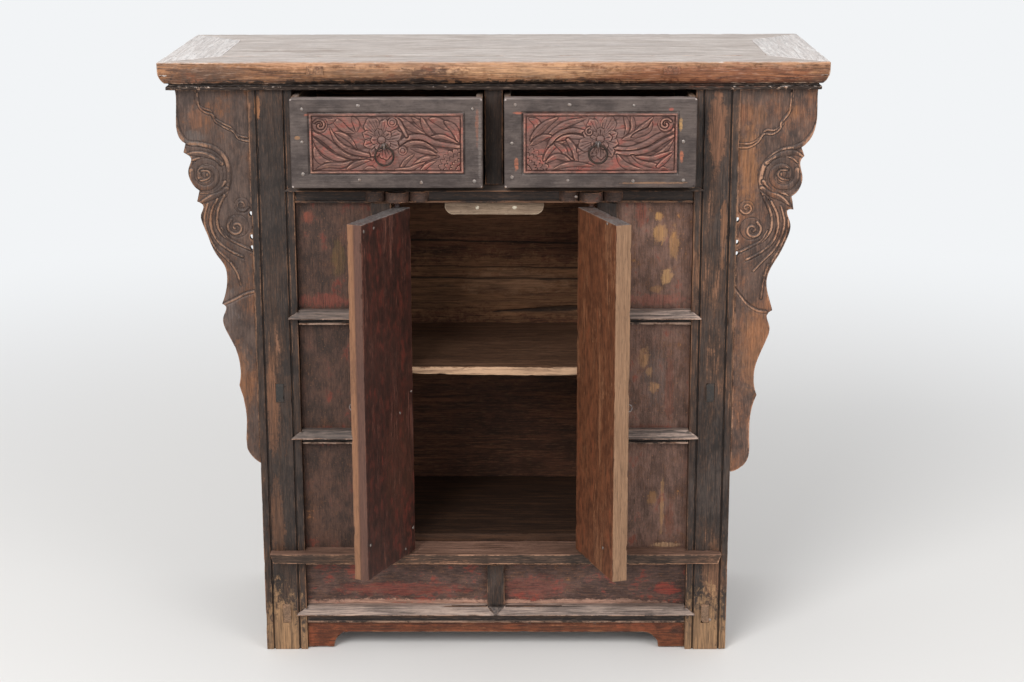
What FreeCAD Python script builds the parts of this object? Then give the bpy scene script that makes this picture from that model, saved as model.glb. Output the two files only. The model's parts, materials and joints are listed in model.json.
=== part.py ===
import FreeCAD, Part
import math
import os

# Kang cabinet: a low chest with a moulded top, carved ears, two drawers and two pivot-hung doors

os.makedirs("parts", exist_ok=True)
doc = FreeCAD.newDocument("KangCabinet")
sheet = doc.addObject("Spreadsheet::Sheet", "Sizes")

# Driving sizes in millimetres, by the piece that carries them. Angles are in degrees.
SIZES = {
    # Case, across
    "case_clear_width": 606,
    "post_width": 66,
    "end_overhang": 131,
    "door_opening_width": 312.6,
    "stile_width": 32,
    "divider_width": 28,
    # Case, upwards from the floor
    "arch_clearance": 27,
    "apron_height": 18,
    "lower_rail_height": 28.5,
    "lower_panel_height": 70.5,
    "sill_height": 26,
    "door_opening_height": 560,
    "drawer_rail_height": 28,
    "drawer_opening_height": 145,
    "slab_thickness": 43,
    # Case, front to back
    "case_depth": 348,
    "front_overhang": 20,
    "back_overhang": 22,
    # Top
    "frame_width": 85,
    "edge_height": 14,
    "ovolo_height": 19,
    "ovolo_inset": 9,
    "quirk_inset": 14,
    "quirk_height": 4,
    "bead_inset": 10,
    "top_panel_thickness": 12,
    "top_tongue": 8,
    "top_tongue_thickness": 5,
    "batten_inset": 150,
    "batten_width": 25,
    "batten_thickness": 18,
    "batten_tenon_height": 12,
    "batten_tenon_drop": 6,
    # Posts and joints
    "post_depth": 55,
    "back_post_depth": 46,
    "post_bead": 11,
    "groove_width": 2.5,
    "groove_depth": 2.5,
    "post_tenon_inset": 14,
    "post_tenon_height": 16,
    "tenon_length": 14,
    "tenon_thickness": 8,
    "tenon_shoulder": 3,
    "stub_length": 9,
    # Rails
    "face_recess": 4,
    "nose_reach": 9,
    "nose_cap": 1.5,
    "nose_drop": 11,
    "nose_lip": 1.5,
    "nose_tip": 15,
    "drawer_nose_drop": 7.5,
    "rail_bead_height": 4,
    "rail_bead_reach": 2,
    "rail_depth": 40,
    "rail_web": 13,
    "rail_deck": 18,
    "sill_nose_reach": 20,
    "sill_nose_height": 16,
    "sill_end_inset": 12,
    "sill_end_slant": 5,
    "sill_depth": 56,
    "lower_rail_depth": 30,
    "apron_recess": 7,
    "apron_thickness": 16,
    "bracket_clearance": 1.5,
    "bracket_width": 42,
    # Panels of the front
    "panel_recess": 16,
    "panel_thickness": 10,
    "panel_tongue": 7,
    "stile_depth": 30,
    "upper_field_height": 168,
    "middle_rail_height": 23,
    "middle_field_height": 170,
    "muntin_width": 28,
    "muntin_proud": 0.8,
    "muntin_let_in": 4,
    "ridge_height": 2,
    # Sides and back
    "side_rail_inset": 22,
    "side_rail_thickness": 24,
    "side_tenon_thickness": 13,
    "side_rail_height": 30,
    "side_low_rail_height": 32,
    "side_low_rail_lift": 46,
    "side_panel_thickness": 9,
    "side_panel_lift": 40,
    "side_panel_tongue": 8,
    "back_board_thickness": 12,
    "back_board_recess": 6,
    "back_board_tongue": 8,
    "back_rail_height": 28,
    "back_rail_depth": 22,
    # Inside
    "floor_thickness": 13,
    "floor_setback": 40,
    "shelf_lift": 290,
    "shelf_thickness": 15,
    "shelf_setback": 45,
    "bed_thickness": 10,
    "bed_tongue": 5,
    "guide_width": 12,
    "guide_height": 16,
    # Ears
    "ear_left_width": 110,
    "ear_right_width": 117,
    "ear_left_height": 589,
    "ear_right_height": 604,
    "ear_thickness": 14,
    "ear_recess": 4,
    "ear_tongue": 6,
    "ear_tongue_thickness": 6,
    "ear_tongue_margin": 30,
    # Doors
    "door_thickness": 24,
    "door_bottom_gap": 3,
    "door_top_gap": 5,
    "door_meeting_gap": 1,
    "pivot_inset": 7,
    "pivot_depth": 5,
    "pivot_stand": 3,
    "pivot_edge_gap": 2.3,
    "pivot_radius": 4.5,
    "pivot_clearance": 0.08,
    "pivot_seat_gap": 0.25,
    "foot_pin_length": 13,
    "head_pin_length": 24,
    "left_door_angle": 115,
    "right_door_angle": 110,
    # Pivot blocks and stop
    "pivot_block_lift": 2.5,
    "lobe_spread": 33,
    "centre_lobe_radius": 18,
    "centre_lobe_reach": 21,
    "side_lobe_radius": 17,
    "side_lobe_reach": 10,
    "stop_board_width": 152,
    "stop_board_drop": 21,
    "stop_board_thickness": 15,
    "stop_board_corner": 14,
    # Door staples
    "staple_radius": 5.6,
    "staple_wire": 1.3,
    "staple_leg": 6,
    "staple_edge_place": 18,
    "staple_lift": 268,
    # Drawers
    "drawer_gap": 1.5,
    "drawer_front_thickness": 20,
    "drawer_front_drop": 6,
    "drawer_front_lift": 4,
    "drawer_front_round": 3,
    "drawer_pull": 50,
    "drawer_length": 288,
    "drawer_side_inset": 0.5,
    "drawer_side_thickness": 10,
    "drawer_side_drop": 7,
    "drawer_run_gap": 0.3,
    "drawer_back_thickness": 10,
    "drawer_bottom_thickness": 7,
    "drawer_bottom_lift": 6,
    "drawer_bottom_groove": 4,
    "field_margin": 29,
    "field_height": 89.5,
    "field_rise": 2,
    # Ring pulls
    "eye_radius": 4.2,
    "eye_wire": 1.3,
    "eye_stand": 6.2,
    "eye_plate_radius": 4.5,
    "eye_plate_thickness": 1,
    "eye_left_drop": 3.2,
    "eye_right_drop": 0.5,
    "eye_left_shift": 2.8,
    "eye_right_shift": -3.5,
    "ring_radius": 13.6,
    "ring_wire": 1.7,
    "ring_seat_gap": 0.3,
    # How far a cutting tool runs past the face that it opens
    "overrun": 1,
}

# Ear outlines from the top outer corner down to the tip at the post. Each run is one smooth stretch, and
# runs meet in corners. A point is a share of the ear's width out from the post and of its height down.
EAR_LEFT_SHARES = (
    ((1.000, 0.000), (1.000, 0.072), (0.994, 0.105), (0.970, 0.121), (0.880, 0.139)),
    ((0.880, 0.139), (0.912, 0.162)),
    ((0.912, 0.162), (0.860, 0.168), (0.818, 0.175), (0.852, 0.204), (0.832, 0.235), (0.714, 0.261)),
    ((0.714, 0.261), (0.753, 0.290)),
    ((0.753, 0.290), (0.715, 0.293), (0.674, 0.300), (0.705, 0.324), (0.686, 0.350), (0.605, 0.392),
     (0.508, 0.432), (0.410, 0.459), (0.379, 0.493), (0.465, 0.562)),
    ((0.465, 0.562), (0.412, 0.571), (0.452, 0.595), (0.425, 0.633), (0.327, 0.671), (0.258, 0.712),
     (0.245, 0.753), (0.266, 0.783)),
    ((0.266, 0.783), (0.222, 0.816), (0.192, 0.844), (0.179, 0.871), (0.195, 0.933), (0.190, 0.955),
     (0.118, 0.981), (0.000, 1.000)),
)
EAR_RIGHT_SHARES = (
    ((1.000, 0.000), (1.000, 0.055), (0.983, 0.098), (0.912, 0.130), (0.812, 0.147)),
    ((0.812, 0.147), (0.855, 0.169)),
    ((0.855, 0.169), (0.806, 0.183), (0.838, 0.221), (0.817, 0.246), (0.705, 0.271)),
    ((0.705, 0.271), (0.737, 0.305)),
    ((0.737, 0.305), (0.660, 0.307), (0.698, 0.338), (0.672, 0.376), (0.562, 0.423), (0.450, 0.462),
     (0.416, 0.489), (0.449, 0.530), (0.503, 0.566)),
    ((0.503, 0.566), (0.438, 0.579), (0.474, 0.608), (0.440, 0.643), (0.354, 0.683), (0.294, 0.722),
     (0.292, 0.760), (0.331, 0.791)),
    ((0.331, 0.791), (0.270, 0.829), (0.249, 0.870), (0.257, 0.924), (0.223, 0.970), (0.106, 0.993),
     (0.000, 1.000)),
)


class Measure:
    """A length read from the sheet, or made of such lengths, that keeps its sheet expression."""

    def __init__(self, text, value):
        self.text = text
        self.value = value

    def _join(self, sign, other, value):
        other_text = other.text if isinstance(other, Measure) else repr(other)
        return Measure("(%s %s %s)" % (self.text, sign, other_text), value)

    def __add__(self, other):
        return self._join("+", other, self.value + other.value)

    def __sub__(self, other):
        return self._join("-", other, self.value - other.value)

    def __mul__(self, times):
        return self._join("*", times, self.value * times)

    def __truediv__(self, times):
        return self._join("/", times, self.value / times)

    def __neg__(self):
        return Measure("(-%s)" % self.text, -self.value)


class Sizes:
    """The sheet's named values as attributes."""


def write_cells(values, first_row):
    """Put named values in the sheet, one to a row."""
    for row, (alias, value) in enumerate(values.items(), start=first_row):
        sheet.set("A%d" % row, alias)
        sheet.set("B%d" % row, str(value))
        sheet.setAlias("B%d" % row, alias)
    doc.recompute()
    for alias in values:
        setattr(s, alias, Measure("Sizes.%s" % alias, float(sheet.get(alias))))


s = Sizes()
write_cells(SIZES, 1)
NONE = Measure("0", 0.0)
SIDES = (("left", -1), ("right", 1))

# Distances out from the middle
post_inner = s.case_clear_width / 2
post_outer = post_inner + s.post_width
half_width = post_outer + s.end_overhang
stile_inner = s.door_opening_width / 2
stile_outer = stile_inner + s.stile_width
pivot_place = stile_inner - s.pivot_edge_gap - s.pivot_inset
door_width = stile_inner - s.pivot_edge_gap - s.door_meeting_gap
door_reach = door_width - s.pivot_inset
side_reach = post_outer - s.side_rail_inset
side_rail_place = side_reach - s.side_rail_thickness

# Heights above the floor
lower_rail_under = s.arch_clearance + s.apron_height
lower_rail_top = lower_rail_under + s.lower_rail_height
sill_under = lower_rail_top + s.lower_panel_height
sill_top = sill_under + s.sill_height
drawer_rail_under = sill_top + s.door_opening_height
drawer_rail_top = drawer_rail_under + s.drawer_rail_height
slab_under = drawer_rail_top + s.drawer_opening_height
slab_top = slab_under + s.slab_thickness
shelf_under = sill_top + s.shelf_lift - s.shelf_thickness
upper_middle_under = drawer_rail_under - s.upper_field_height - s.middle_rail_height
low_middle_under = upper_middle_under - s.middle_field_height - s.middle_rail_height

# Depths behind the front faces of the front posts
back_post_front = s.case_depth - s.back_post_depth
back_board_front = s.case_depth - s.back_board_recess - s.back_board_thickness
slab_back = s.case_depth + s.back_overhang


def door_swing_reach(angle):
    """How far an open door's corner stands in front of the posts."""
    turn = math.radians(angle.value)
    inner_face = s.door_thickness.value - s.pivot_depth.value
    return s.pivot_stand.value + door_reach.value * math.sin(turn) - inner_face * math.cos(turn)


# The origin lies on the floor under the middle of the whole piece, open doors included
front_reach = max(door_swing_reach(s.left_door_angle), door_swing_reach(s.right_door_angle))
write_cells({"front_setback": (slab_back.value - front_reach) / 2}, len(SIZES) + 1)

nodes = {}


def keep(thing, name):
    """Make an object one of the sub-parts, under its name."""
    thing.Label = name
    nodes[name] = thing
    return thing


def place(thing, x, y, z):
    """Bind an object's place, given behind the posts' front faces."""
    thing.setExpression("Placement.Base.x", x.text)
    thing.setExpression("Placement.Base.y", (y - s.front_setback).text)
    thing.setExpression("Placement.Base.z", z.text)
    return thing


def box(name, corner, spans):
    """A block from its low corner, with spans along X, Y and Z."""
    thing = doc.addObject("Part::Box", name)
    thing.setExpression("Length", spans[0].text)
    thing.setExpression("Width", spans[1].text)
    thing.setExpression("Height", spans[2].text)
    return place(thing, *corner)


def cylinder(name, centre, radius, height):
    """An upright cylinder on the centre of its lower face."""
    thing = doc.addObject("Part::Cylinder", name)
    thing.setExpression("Radius", radius.text)
    thing.setExpression("Height", height.text)
    return place(thing, *centre)


def fuse(name, *things):
    """One solid from several that meet."""
    thing = doc.addObject("Part::MultiFuse", name)
    thing.Shapes = list(things)
    thing.Refine = True
    return thing


def cut(name, base, *tools):
    """What is left of a piece once every tool is taken out."""
    thing = doc.addObject("Part::Cut", name)
    thing.Base = base
    thing.Tool = tools[0] if len(tools) == 1 else fuse(name + "_tools", *tools)
    return thing


def common(name, first, second):
    """What two solids share."""
    thing = doc.addObject("Part::Common", name)
    thing.Base = first
    thing.Tool = second
    return thing


def shaped(name, solid, x=NONE, y=NONE, z=NONE):
    """A solid made by hand in its own axes, then placed."""
    thing = doc.addObject("Part::Feature", name)
    thing.Shape = solid
    return place(thing, x, y, z)


def out_from_middle(sign, inner, width):
    """Low X of a span that starts at inner, on one side of the middle."""
    return inner if sign > 0 else -(inner + width)


def across(half):
    """Low X and span of a piece that is centred on the middle."""
    return -half, half * 2


def vector(x, y, z):
    return FreeCAD.Vector(x, y, z)


def prism(points, along):
    """A solid from a closed outline of straight edges, drawn out along a vector."""
    return Part.Face(Part.makePolygon(list(points) + [points[0]])).extrude(along)


# Top: a mitred and moulded frame, a floating panel and two battens tenoned through the front


def moulded_bar(length):
    """Frame member along X, outer edge at Y 0, top at Z 0, mitred at both ends."""
    width = s.frame_width.value
    edge = -s.edge_height.value
    ovolo = edge - s.ovolo_height.value
    quirk = ovolo - s.quirk_height.value
    under = -s.slab_thickness.value
    swell_share = 0.25
    rounding = Part.Arc(
        vector(0, 0, edge),
        vector(0, s.ovolo_inset.value * swell_share, (edge + ovolo) / 2),
        vector(0, s.ovolo_inset.value, ovolo),
    ).toShape()
    corners = [
        vector(0, s.ovolo_inset.value, ovolo),
        vector(0, s.quirk_inset.value, ovolo),
        vector(0, s.quirk_inset.value, quirk),
        vector(0, s.bead_inset.value, quirk),
        vector(0, s.bead_inset.value, under),
        vector(0, width, under),
        vector(0, width, 0),
        vector(0, 0, 0),
        vector(0, 0, edge),
    ]
    outline = Part.Wire([rounding] + Part.makePolygon(corners).Edges)
    bar = Part.Face(outline).extrude(vector(length, 0, 0))
    run = s.overrun.value
    tall = vector(0, 0, s.slab_thickness.value + run * 2)
    reach = width + run
    low = under - run
    first = prism([vector(-run, -run, low), vector(-run, reach, low), vector(reach, reach, low)], tall)
    far = length + run
    last = prism([vector(far, -run, low), vector(far, reach, low), vector(length - reach, reach, low)], tall)
    return bar.cut(first).cut(last)


def frame_bar(name, length, x, y, turn):
    """One frame member turned about its outer corner."""
    solid = moulded_bar(length.value)
    solid.rotate(vector(0, 0, 0), vector(0, 0, 1), turn)
    return shaped(name, solid, x, y, slab_top)


top_depth = s.front_overhang + slab_back
frame_parts = {
    "top_rail_front": frame_bar("top_rail_front_blank", half_width * 2, -half_width, -s.front_overhang, 0),
    "top_end_right": frame_bar("top_end_right_blank", top_depth, half_width, -s.front_overhang, 90),
    "top_rail_back": frame_bar("top_rail_back_blank", half_width * 2, half_width, slab_back, 180),
    "top_end_left": frame_bar("top_end_left_blank", top_depth, -half_width, slab_back, 270),
}

frame_front_inner = s.frame_width - s.front_overhang
frame_back_inner = slab_back - s.frame_width
panel_half = half_width - s.frame_width
panel_under = slab_top - s.top_panel_thickness

battens = []
for side, sign in SIDES:
    low_x = (panel_half - s.batten_inset) * sign - s.batten_width / 2
    body = box(
        "top_batten_%s_body" % side,
        (low_x, frame_front_inner, panel_under - s.batten_thickness),
        (s.batten_width, frame_back_inner - frame_front_inner + s.tenon_length, s.batten_thickness),
    )
    tenon = box(
        "top_batten_%s_tenon" % side,
        (low_x, -s.front_overhang, slab_top - s.batten_tenon_drop - s.batten_tenon_height),
        (s.batten_width, s.frame_width, s.batten_tenon_height),
    )
    tenon_foot = box(
        "top_batten_%s_foot" % side,
        (low_x, frame_front_inner - s.tenon_length, panel_under - s.batten_thickness),
        (s.batten_width, s.tenon_length, s.batten_thickness),
    )
    battens.append(keep(fuse("top_batten_%s" % side, body, tenon, tenon_foot), "top_batten_%s" % side))

low, span = across(panel_half)
panel_board = box(
    "top_panel_board",
    (low, frame_front_inner, panel_under),
    (span, frame_back_inner - frame_front_inner, s.top_panel_thickness),
)
low, span = across(panel_half + s.top_tongue)
panel_edge = box(
    "top_panel_edge",
    (low, frame_front_inner - s.top_tongue, panel_under),
    (span, frame_back_inner - frame_front_inner + s.top_tongue * 2, s.top_tongue_thickness),
)
top_panel = keep(cut("top_panel", fuse("top_panel_blank", panel_board, panel_edge), *battens), "top_panel")

# Front rails. Each has a recessed face with a bead along its foot, and a sloping nose above. The nose runs
# a little way over the posts, where its ends are cut to a point.


def nose_solid(low, high, low_tip, high_tip, drop):
    """Nose between two members, with its top at Z 0 and a pointed tip beyond either end."""
    back = s.face_recess.value
    reach = s.nose_reach.value
    cap = s.nose_cap.value
    under = drop + s.nose_lip.value
    far_low = low - low_tip
    far_high = high + high_tip
    between = prism(
        [
            vector(low, back, 0),
            vector(low, 0, -cap),
            vector(low, -reach, -drop),
            vector(low, -reach, -under),
            vector(low, back, -under),
        ],
        vector(high - low, 0, 0),
    )
    over_posts = prism(
        [
            vector(far_low, 0, -cap),
            vector(far_low, -reach, -drop),
            vector(far_low, -reach, -under),
            vector(far_low, 0, -under),
        ],
        vector(far_high - far_low, 0, 0),
    )
    pointed = prism(
        [
            vector(low, -reach, 0),
            vector(high, -reach, 0),
            vector(far_high, -reach, -drop),
            vector(far_high, -reach, -under),
            vector(far_low, -reach, -under),
            vector(far_low, -reach, -drop),
        ],
        vector(0, reach, 0),
    )
    return between.fuse(over_posts.common(pointed)).removeSplitter()


def tenon_block(name, low_x, span, under, height):
    """A rail's tenons in one bar, set back behind the rail's face."""
    return box(
        name,
        (low_x, s.face_recess + s.tenon_shoulder, under + s.tenon_shoulder),
        (span, s.tenon_thickness, height - s.tenon_shoulder * 2),
    )


def rail_bead(name, low_x, span, under):
    """Thin bead along the foot of a rail's face."""
    return box(
        name,
        (low_x, s.face_recess - s.rail_bead_reach, under),
        (span, s.rail_bead_reach, s.rail_bead_height),
    )


def front_rail(name, under, height, depth):
    """Face, bead and tenons of a rail that runs from post to post."""
    low, span = across(post_inner)
    low_tenon, tenon_span = across(post_inner + s.tenon_length)
    return [
        box(name + "_face", (low, s.face_recess, under), (span, depth, height)),
        rail_bead(name + "_bead", low, span, under),
        tenon_block(name + "_tenons", low_tenon, tenon_span, under, height),
    ]


def full_nose(name, top, drop):
    """Nose from post to post."""
    half = post_inner.value
    tip = s.nose_tip.value
    return shaped(name, nose_solid(-half, half, tip, tip, drop.value), NONE, NONE, top)


low, span = across(post_inner)
deck = box(
    "rail_drawer_deck",
    (low, s.face_recess, drawer_rail_top - s.rail_deck),
    (span, s.rail_depth, s.rail_deck),
)
rail_drawer_blank = fuse(
    "rail_drawer_blank",
    deck,
    full_nose("rail_drawer_nose", drawer_rail_top, s.drawer_nose_drop),
    *front_rail("rail_drawer", drawer_rail_under, s.drawer_rail_height, s.rail_web),
)
lower_nose = full_nose("rail_lower_nose", lower_rail_top, s.nose_drop)
rail_lower_blank = fuse(
    "rail_lower_blank",
    lower_nose,
    *front_rail("rail_lower", lower_rail_under, s.lower_rail_height, s.lower_rail_depth),
)

# The sill's nose is deeper than the others, and runs right over the posts' faces
sill_half = (post_outer - s.sill_end_inset).value
sill_foot = sill_half - s.sill_end_slant.value
sill_drop = -s.sill_nose_height.value
sill_outline = [
    vector(-sill_half, 0, 0),
    vector(sill_half, 0, 0),
    vector(sill_foot, 0, sill_drop),
    vector(-sill_foot, 0, sill_drop),
]
sill_nose = shaped(
    "rail_sill_nose",
    prism(sill_outline, vector(0, s.sill_nose_reach.value, 0)),
    NONE,
    -s.sill_nose_reach,
    sill_top,
)
sill_step = box(
    "rail_sill_step",
    (low, NONE, sill_top - s.sill_nose_height),
    (span, s.face_recess, s.sill_nose_height),
)
rail_sill_blank = fuse(
    "rail_sill_blank", sill_nose, sill_step, *front_rail("rail_sill", sill_under, s.sill_height, s.sill_depth)
)

# Middle rails of the side bays, tenoned into post and stile
bay_width = post_inner - stile_outer
middle_rails = {}
for level, under in (("upper", upper_middle_under), ("lower", low_middle_under)):
    for side, sign in SIDES:
        name = "rail_middle_%s_%s" % (level, side)
        height = s.middle_rail_height
        low_x = out_from_middle(sign, stile_outer, bay_width)
        face_depth = s.panel_recess - s.face_recess
        low_tip = s.nose_tip.value if sign < 0 else 0
        high_tip = s.nose_tip.value - low_tip
        nose = nose_solid(0, bay_width.value, low_tip, high_tip, s.nose_drop.value)
        middle_rails[name] = keep(
            fuse(
                name,
                box(name + "_face", (low_x, s.face_recess, under), (bay_width, face_depth, height)),
                shaped(name + "_nose", nose, low_x, NONE, under + height),
                rail_bead(name + "_bead", low_x, bay_width, under),
                tenon_block(
                    name + "_tenons", low_x - s.tenon_length, bay_width + s.tenon_length * 2, under, height
                ),
            ),
            name,
        )

# Panels of the front, held by tongues in the frame round them
front_panels = {}
for side, sign in SIDES:
    width = bay_width + s.panel_tongue * 2
    front_panels[side] = keep(
        box(
            "panel_front_%s" % side,
            (
                out_from_middle(sign, stile_outer - s.panel_tongue, width),
                s.panel_recess,
                sill_top - s.panel_tongue,
            ),
            (width, s.panel_thickness, s.door_opening_height + s.panel_tongue * 2),
        ),
        "panel_front_%s" % side,
    )
low, span = across(post_inner + s.panel_tongue)
panel_lower = keep(
    box(
        "panel_lower",
        (low, s.panel_recess, lower_rail_top - s.panel_tongue),
        (span, s.panel_thickness, s.lower_panel_height + s.panel_tongue * 2),
    ),
    "panel_lower",
)



def ridged_solid(width, depth, height):
    """Upright with a low ridge down its face, which stands at Y 0."""
    half = width / 2
    ridge = -s.ridge_height.value
    outline = [
        vector(-half, 0, 0),
        vector(0, ridge, 0),
        vector(half, 0, 0),
        vector(half, depth, 0),
        vector(-half, depth, 0),
    ]
    return prism(outline, vector(0, 0, height))


# Muntin in front of the lower panel, its foot cut to a point and mitred into the lower rail's nose
muntin_half = s.muntin_width.value / 2
muntin_point = [
    vector(-muntin_half, 0, 0),
    vector(muntin_half, 0, 0),
    vector(0, 0, -s.nose_drop.value - s.nose_lip.value / 2),
]
point_back = s.face_recess - s.muntin_proud
point_depth = point_back + s.nose_reach + s.muntin_proud * 2
point_slot = shaped(
    "muntin_slot",
    prism(muntin_point, vector(0, point_depth.value, 0)),
    NONE,
    point_back - point_depth,
    lower_rail_top,
)
proud_nose = shaped(
    "muntin_nose",
    nose_solid(-muntin_half, muntin_half, 0, 0, s.nose_drop.value),
    NONE,
    -s.muntin_proud,
    lower_rail_top,
)
muntin_foot = common("muntin_foot", proud_nose, point_slot)
let_in = (s.muntin_proud + s.muntin_let_in).value
muntin_tongue = shaped(
    "muntin_tongue",
    prism(muntin_point, vector(0, let_in, 0)),
    NONE,
    point_back,
    lower_rail_top,
)
muntin_depth = s.panel_recess - s.face_recess
muntin_post = shaped(
    "muntin_post",
    ridged_solid(s.muntin_width.value, muntin_depth.value, s.lower_panel_height.value),
    NONE,
    s.face_recess,
    lower_rail_top,
)
muntin = keep(fuse("muntin_lower", muntin_post, muntin_foot, muntin_tongue), "muntin_lower")

# Door stiles, with stub tenons into sill and drawer rail
stile_blanks = {}
for side, sign in SIDES:
    name = "stile_%s" % side
    low_x = out_from_middle(sign, stile_inner, s.stile_width)
    post = box(name + "_post", (low_x, s.face_recess, sill_top), (s.stile_width, s.stile_depth, s.door_opening_height))
    stub = box(
        name + "_stubs",
        (
            low_x + s.tenon_thickness,
            s.face_recess + s.tenon_shoulder,
            sill_top - s.stub_length,
        ),
        (
            s.stile_width - s.tenon_thickness * 2,
            s.tenon_thickness,
            s.door_opening_height + s.stub_length * 2,
        ),
    )
    stile_blanks[side] = fuse(name + "_blank", post, stub)
stiles = {}
for side, sign in SIDES:
    name = "stile_%s" % side
    stiles[side] = keep(
        cut(
            name,
            stile_blanks[side],
            front_panels[side],
            middle_rails["rail_middle_upper_%s" % side],
            middle_rails["rail_middle_lower_%s" % side],
        ),
        name,
    )

# Apron with a bracket at each end, curved where it meets the arch


def apron_solid():
    outer = post_inner.value
    top = s.apron_height.value
    drop = s.bracket_clearance.value - s.arch_clearance.value
    inner = outer - s.bracket_width.value
    curve = -drop
    bend_share = math.sqrt(0.5)
    edges = []
    bend = vector(inner - curve + curve * bend_share, 0, drop + curve * bend_share)
    straight = [
        vector(-inner + curve, 0, 0),
        vector(inner - curve, 0, 0),
    ]
    edges.append(Part.makeLine(straight[0], straight[1]))
    edges.append(Part.Arc(straight[1], bend, vector(inner, 0, drop)).toShape())
    corners = [
        vector(inner, 0, drop),
        vector(outer, 0, drop),
        vector(outer, 0, top),
        vector(-outer, 0, top),
        vector(-outer, 0, drop),
        vector(-inner, 0, drop),
    ]
    edges.extend(Part.makePolygon(corners).Edges)
    edges.append(Part.Arc(corners[-1], vector(-bend.x, 0, bend.z), straight[0]).toShape())
    return Part.Face(Part.Wire(edges)).extrude(vector(0, s.apron_thickness.value, 0))


apron = keep(shaped("apron", apron_solid(), NONE, s.apron_recess, s.arch_clearance), "apron")

# Sides: two rails tenoned right through each front post, and a tall panel outside them
side_rails = {"left": [], "right": []}
side_panels = {}
for side, sign in SIDES:
    rail_x = out_from_middle(sign, side_rail_place, s.side_rail_thickness)
    tenon_x = out_from_middle(
        sign,
        side_rail_place + (s.side_rail_thickness - s.side_tenon_thickness) / 2,
        s.side_tenon_thickness,
    )
    for level, under, height in (
        ("middle", shelf_under - s.side_rail_height, s.side_rail_height),
        ("low", s.side_low_rail_lift, s.side_low_rail_height),
    ):
        name = "side_rail_%s_%s" % (level, side)
        bar = box(
            name + "_bar",
            (rail_x, s.post_depth, under),
            (s.side_rail_thickness, back_post_front - s.post_depth, height),
        )
        tenon = box(
            name + "_tenon",
            (tenon_x, NONE, under),
            (s.side_tenon_thickness, back_post_front + s.tenon_length, height),
        )
        side_rails[side].append(keep(fuse(name, bar, tenon), name))
    panel_x = out_from_middle(sign, side_reach, s.side_panel_thickness)
    name = "side_panel_%s" % side
    between_posts = box(
        name + "_main",
        (panel_x, s.post_depth - s.side_panel_tongue, s.side_panel_lift),
        (
            s.side_panel_thickness,
            back_post_front - s.post_depth + s.side_panel_tongue * 2,
            slab_under - s.side_panel_lift,
        ),
    )
    under_top = box(
        name + "_head",
        (panel_x, frame_front_inner, slab_under - s.overrun),
        (s.side_panel_thickness, frame_back_inner - frame_front_inner, panel_under - slab_under + s.overrun),
    )
    side_panels[side] = keep(fuse(name, between_posts, under_top), name)

# Back: boards between the back posts, and a rail that carries the floor
low, span = across(post_inner + s.tenon_length)
back_rail = keep(
    box(
        "rail_back_low",
        (low, back_board_front - s.back_rail_depth, sill_top - s.back_rail_height),
        (span, s.back_rail_depth, s.back_rail_height),
    ),
    "rail_back_low",
)
low, span = across(post_inner + s.back_board_tongue)
back_under = sill_top - s.back_rail_height
back_blank = box(
    "back_board_blank",
    (low, back_board_front, back_under),
    (span, s.back_board_thickness, slab_under - back_under),
)

# Posts, each with a tenon into the top's frame


def post_blank(name, sign, front, depth):
    low_x = out_from_middle(sign, post_inner, s.post_width)
    shaft = box(name + "_shaft", (low_x, front, NONE), (s.post_width, depth, slab_under))
    tenon = box(
        name + "_tenon",
        (low_x + s.post_tenon_inset, front + s.post_tenon_inset, slab_under),
        (s.post_width - s.post_tenon_inset * 2, depth - s.post_tenon_inset * 2, s.post_tenon_height),
    )
    return fuse(name + "_blank", shaft, tenon)


def bead_groove(name, sign, inner):
    """Groove that marks off the bead along one edge of a front post."""
    return box(
        name,
        (out_from_middle(sign, inner, s.groove_width), -s.overrun, -s.overrun),
        (s.groove_width, s.groove_depth + s.overrun, slab_under + s.overrun * 2),
    )


# Ears: thin carved boards that hang from the top, tongued into the posts


def ear_solid(shares, sign, width, height):
    """Board from its outline's smooth runs, hung from the top edge beside the post."""
    edges = []
    for run in shares:
        points = [vector(sign * width * out, 0, -height * down) for out, down in run]
        if len(points) == 2:
            edges.append(Part.makeLine(points[0], points[1]))
        else:
            curve = Part.BSplineCurve()
            curve.interpolate(points)
            edges.append(curve.toShape())
    foot = vector(0, 0, -height)
    root = vector(0, 0, 0)
    edges.append(Part.makeLine(foot, root))
    edges.append(Part.makeLine(root, vector(sign * width, 0, 0)))
    return Part.Face(Part.Wire(edges)).extrude(vector(0, s.ear_thickness.value, 0))


ears = {}
for side, sign, shares, width, height in (
    ("left", -1, EAR_LEFT_SHARES, s.ear_left_width, s.ear_left_height),
    ("right", 1, EAR_RIGHT_SHARES, s.ear_right_width, s.ear_right_height),
):
    board = shaped(
        "ear_%s_board" % side,
        ear_solid(shares, sign, width.value, height.value),
        post_outer * sign,
        s.ear_recess,
        slab_under,
    )
    tongue_width = s.ear_tongue + s.overrun
    tongue = box(
        "ear_%s_tongue" % side,
        (
            out_from_middle(sign, post_outer - s.ear_tongue, tongue_width),
            s.ear_recess + (s.ear_thickness - s.ear_tongue_thickness) / 2,
            slab_under - height + s.ear_tongue_margin,
        ),
        (tongue_width, s.ear_tongue_thickness, height - s.ear_tongue_margin * 2),
    )
    ears[side] = keep(fuse("ear_%s" % side, board, tongue), "ear_%s" % side)

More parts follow.
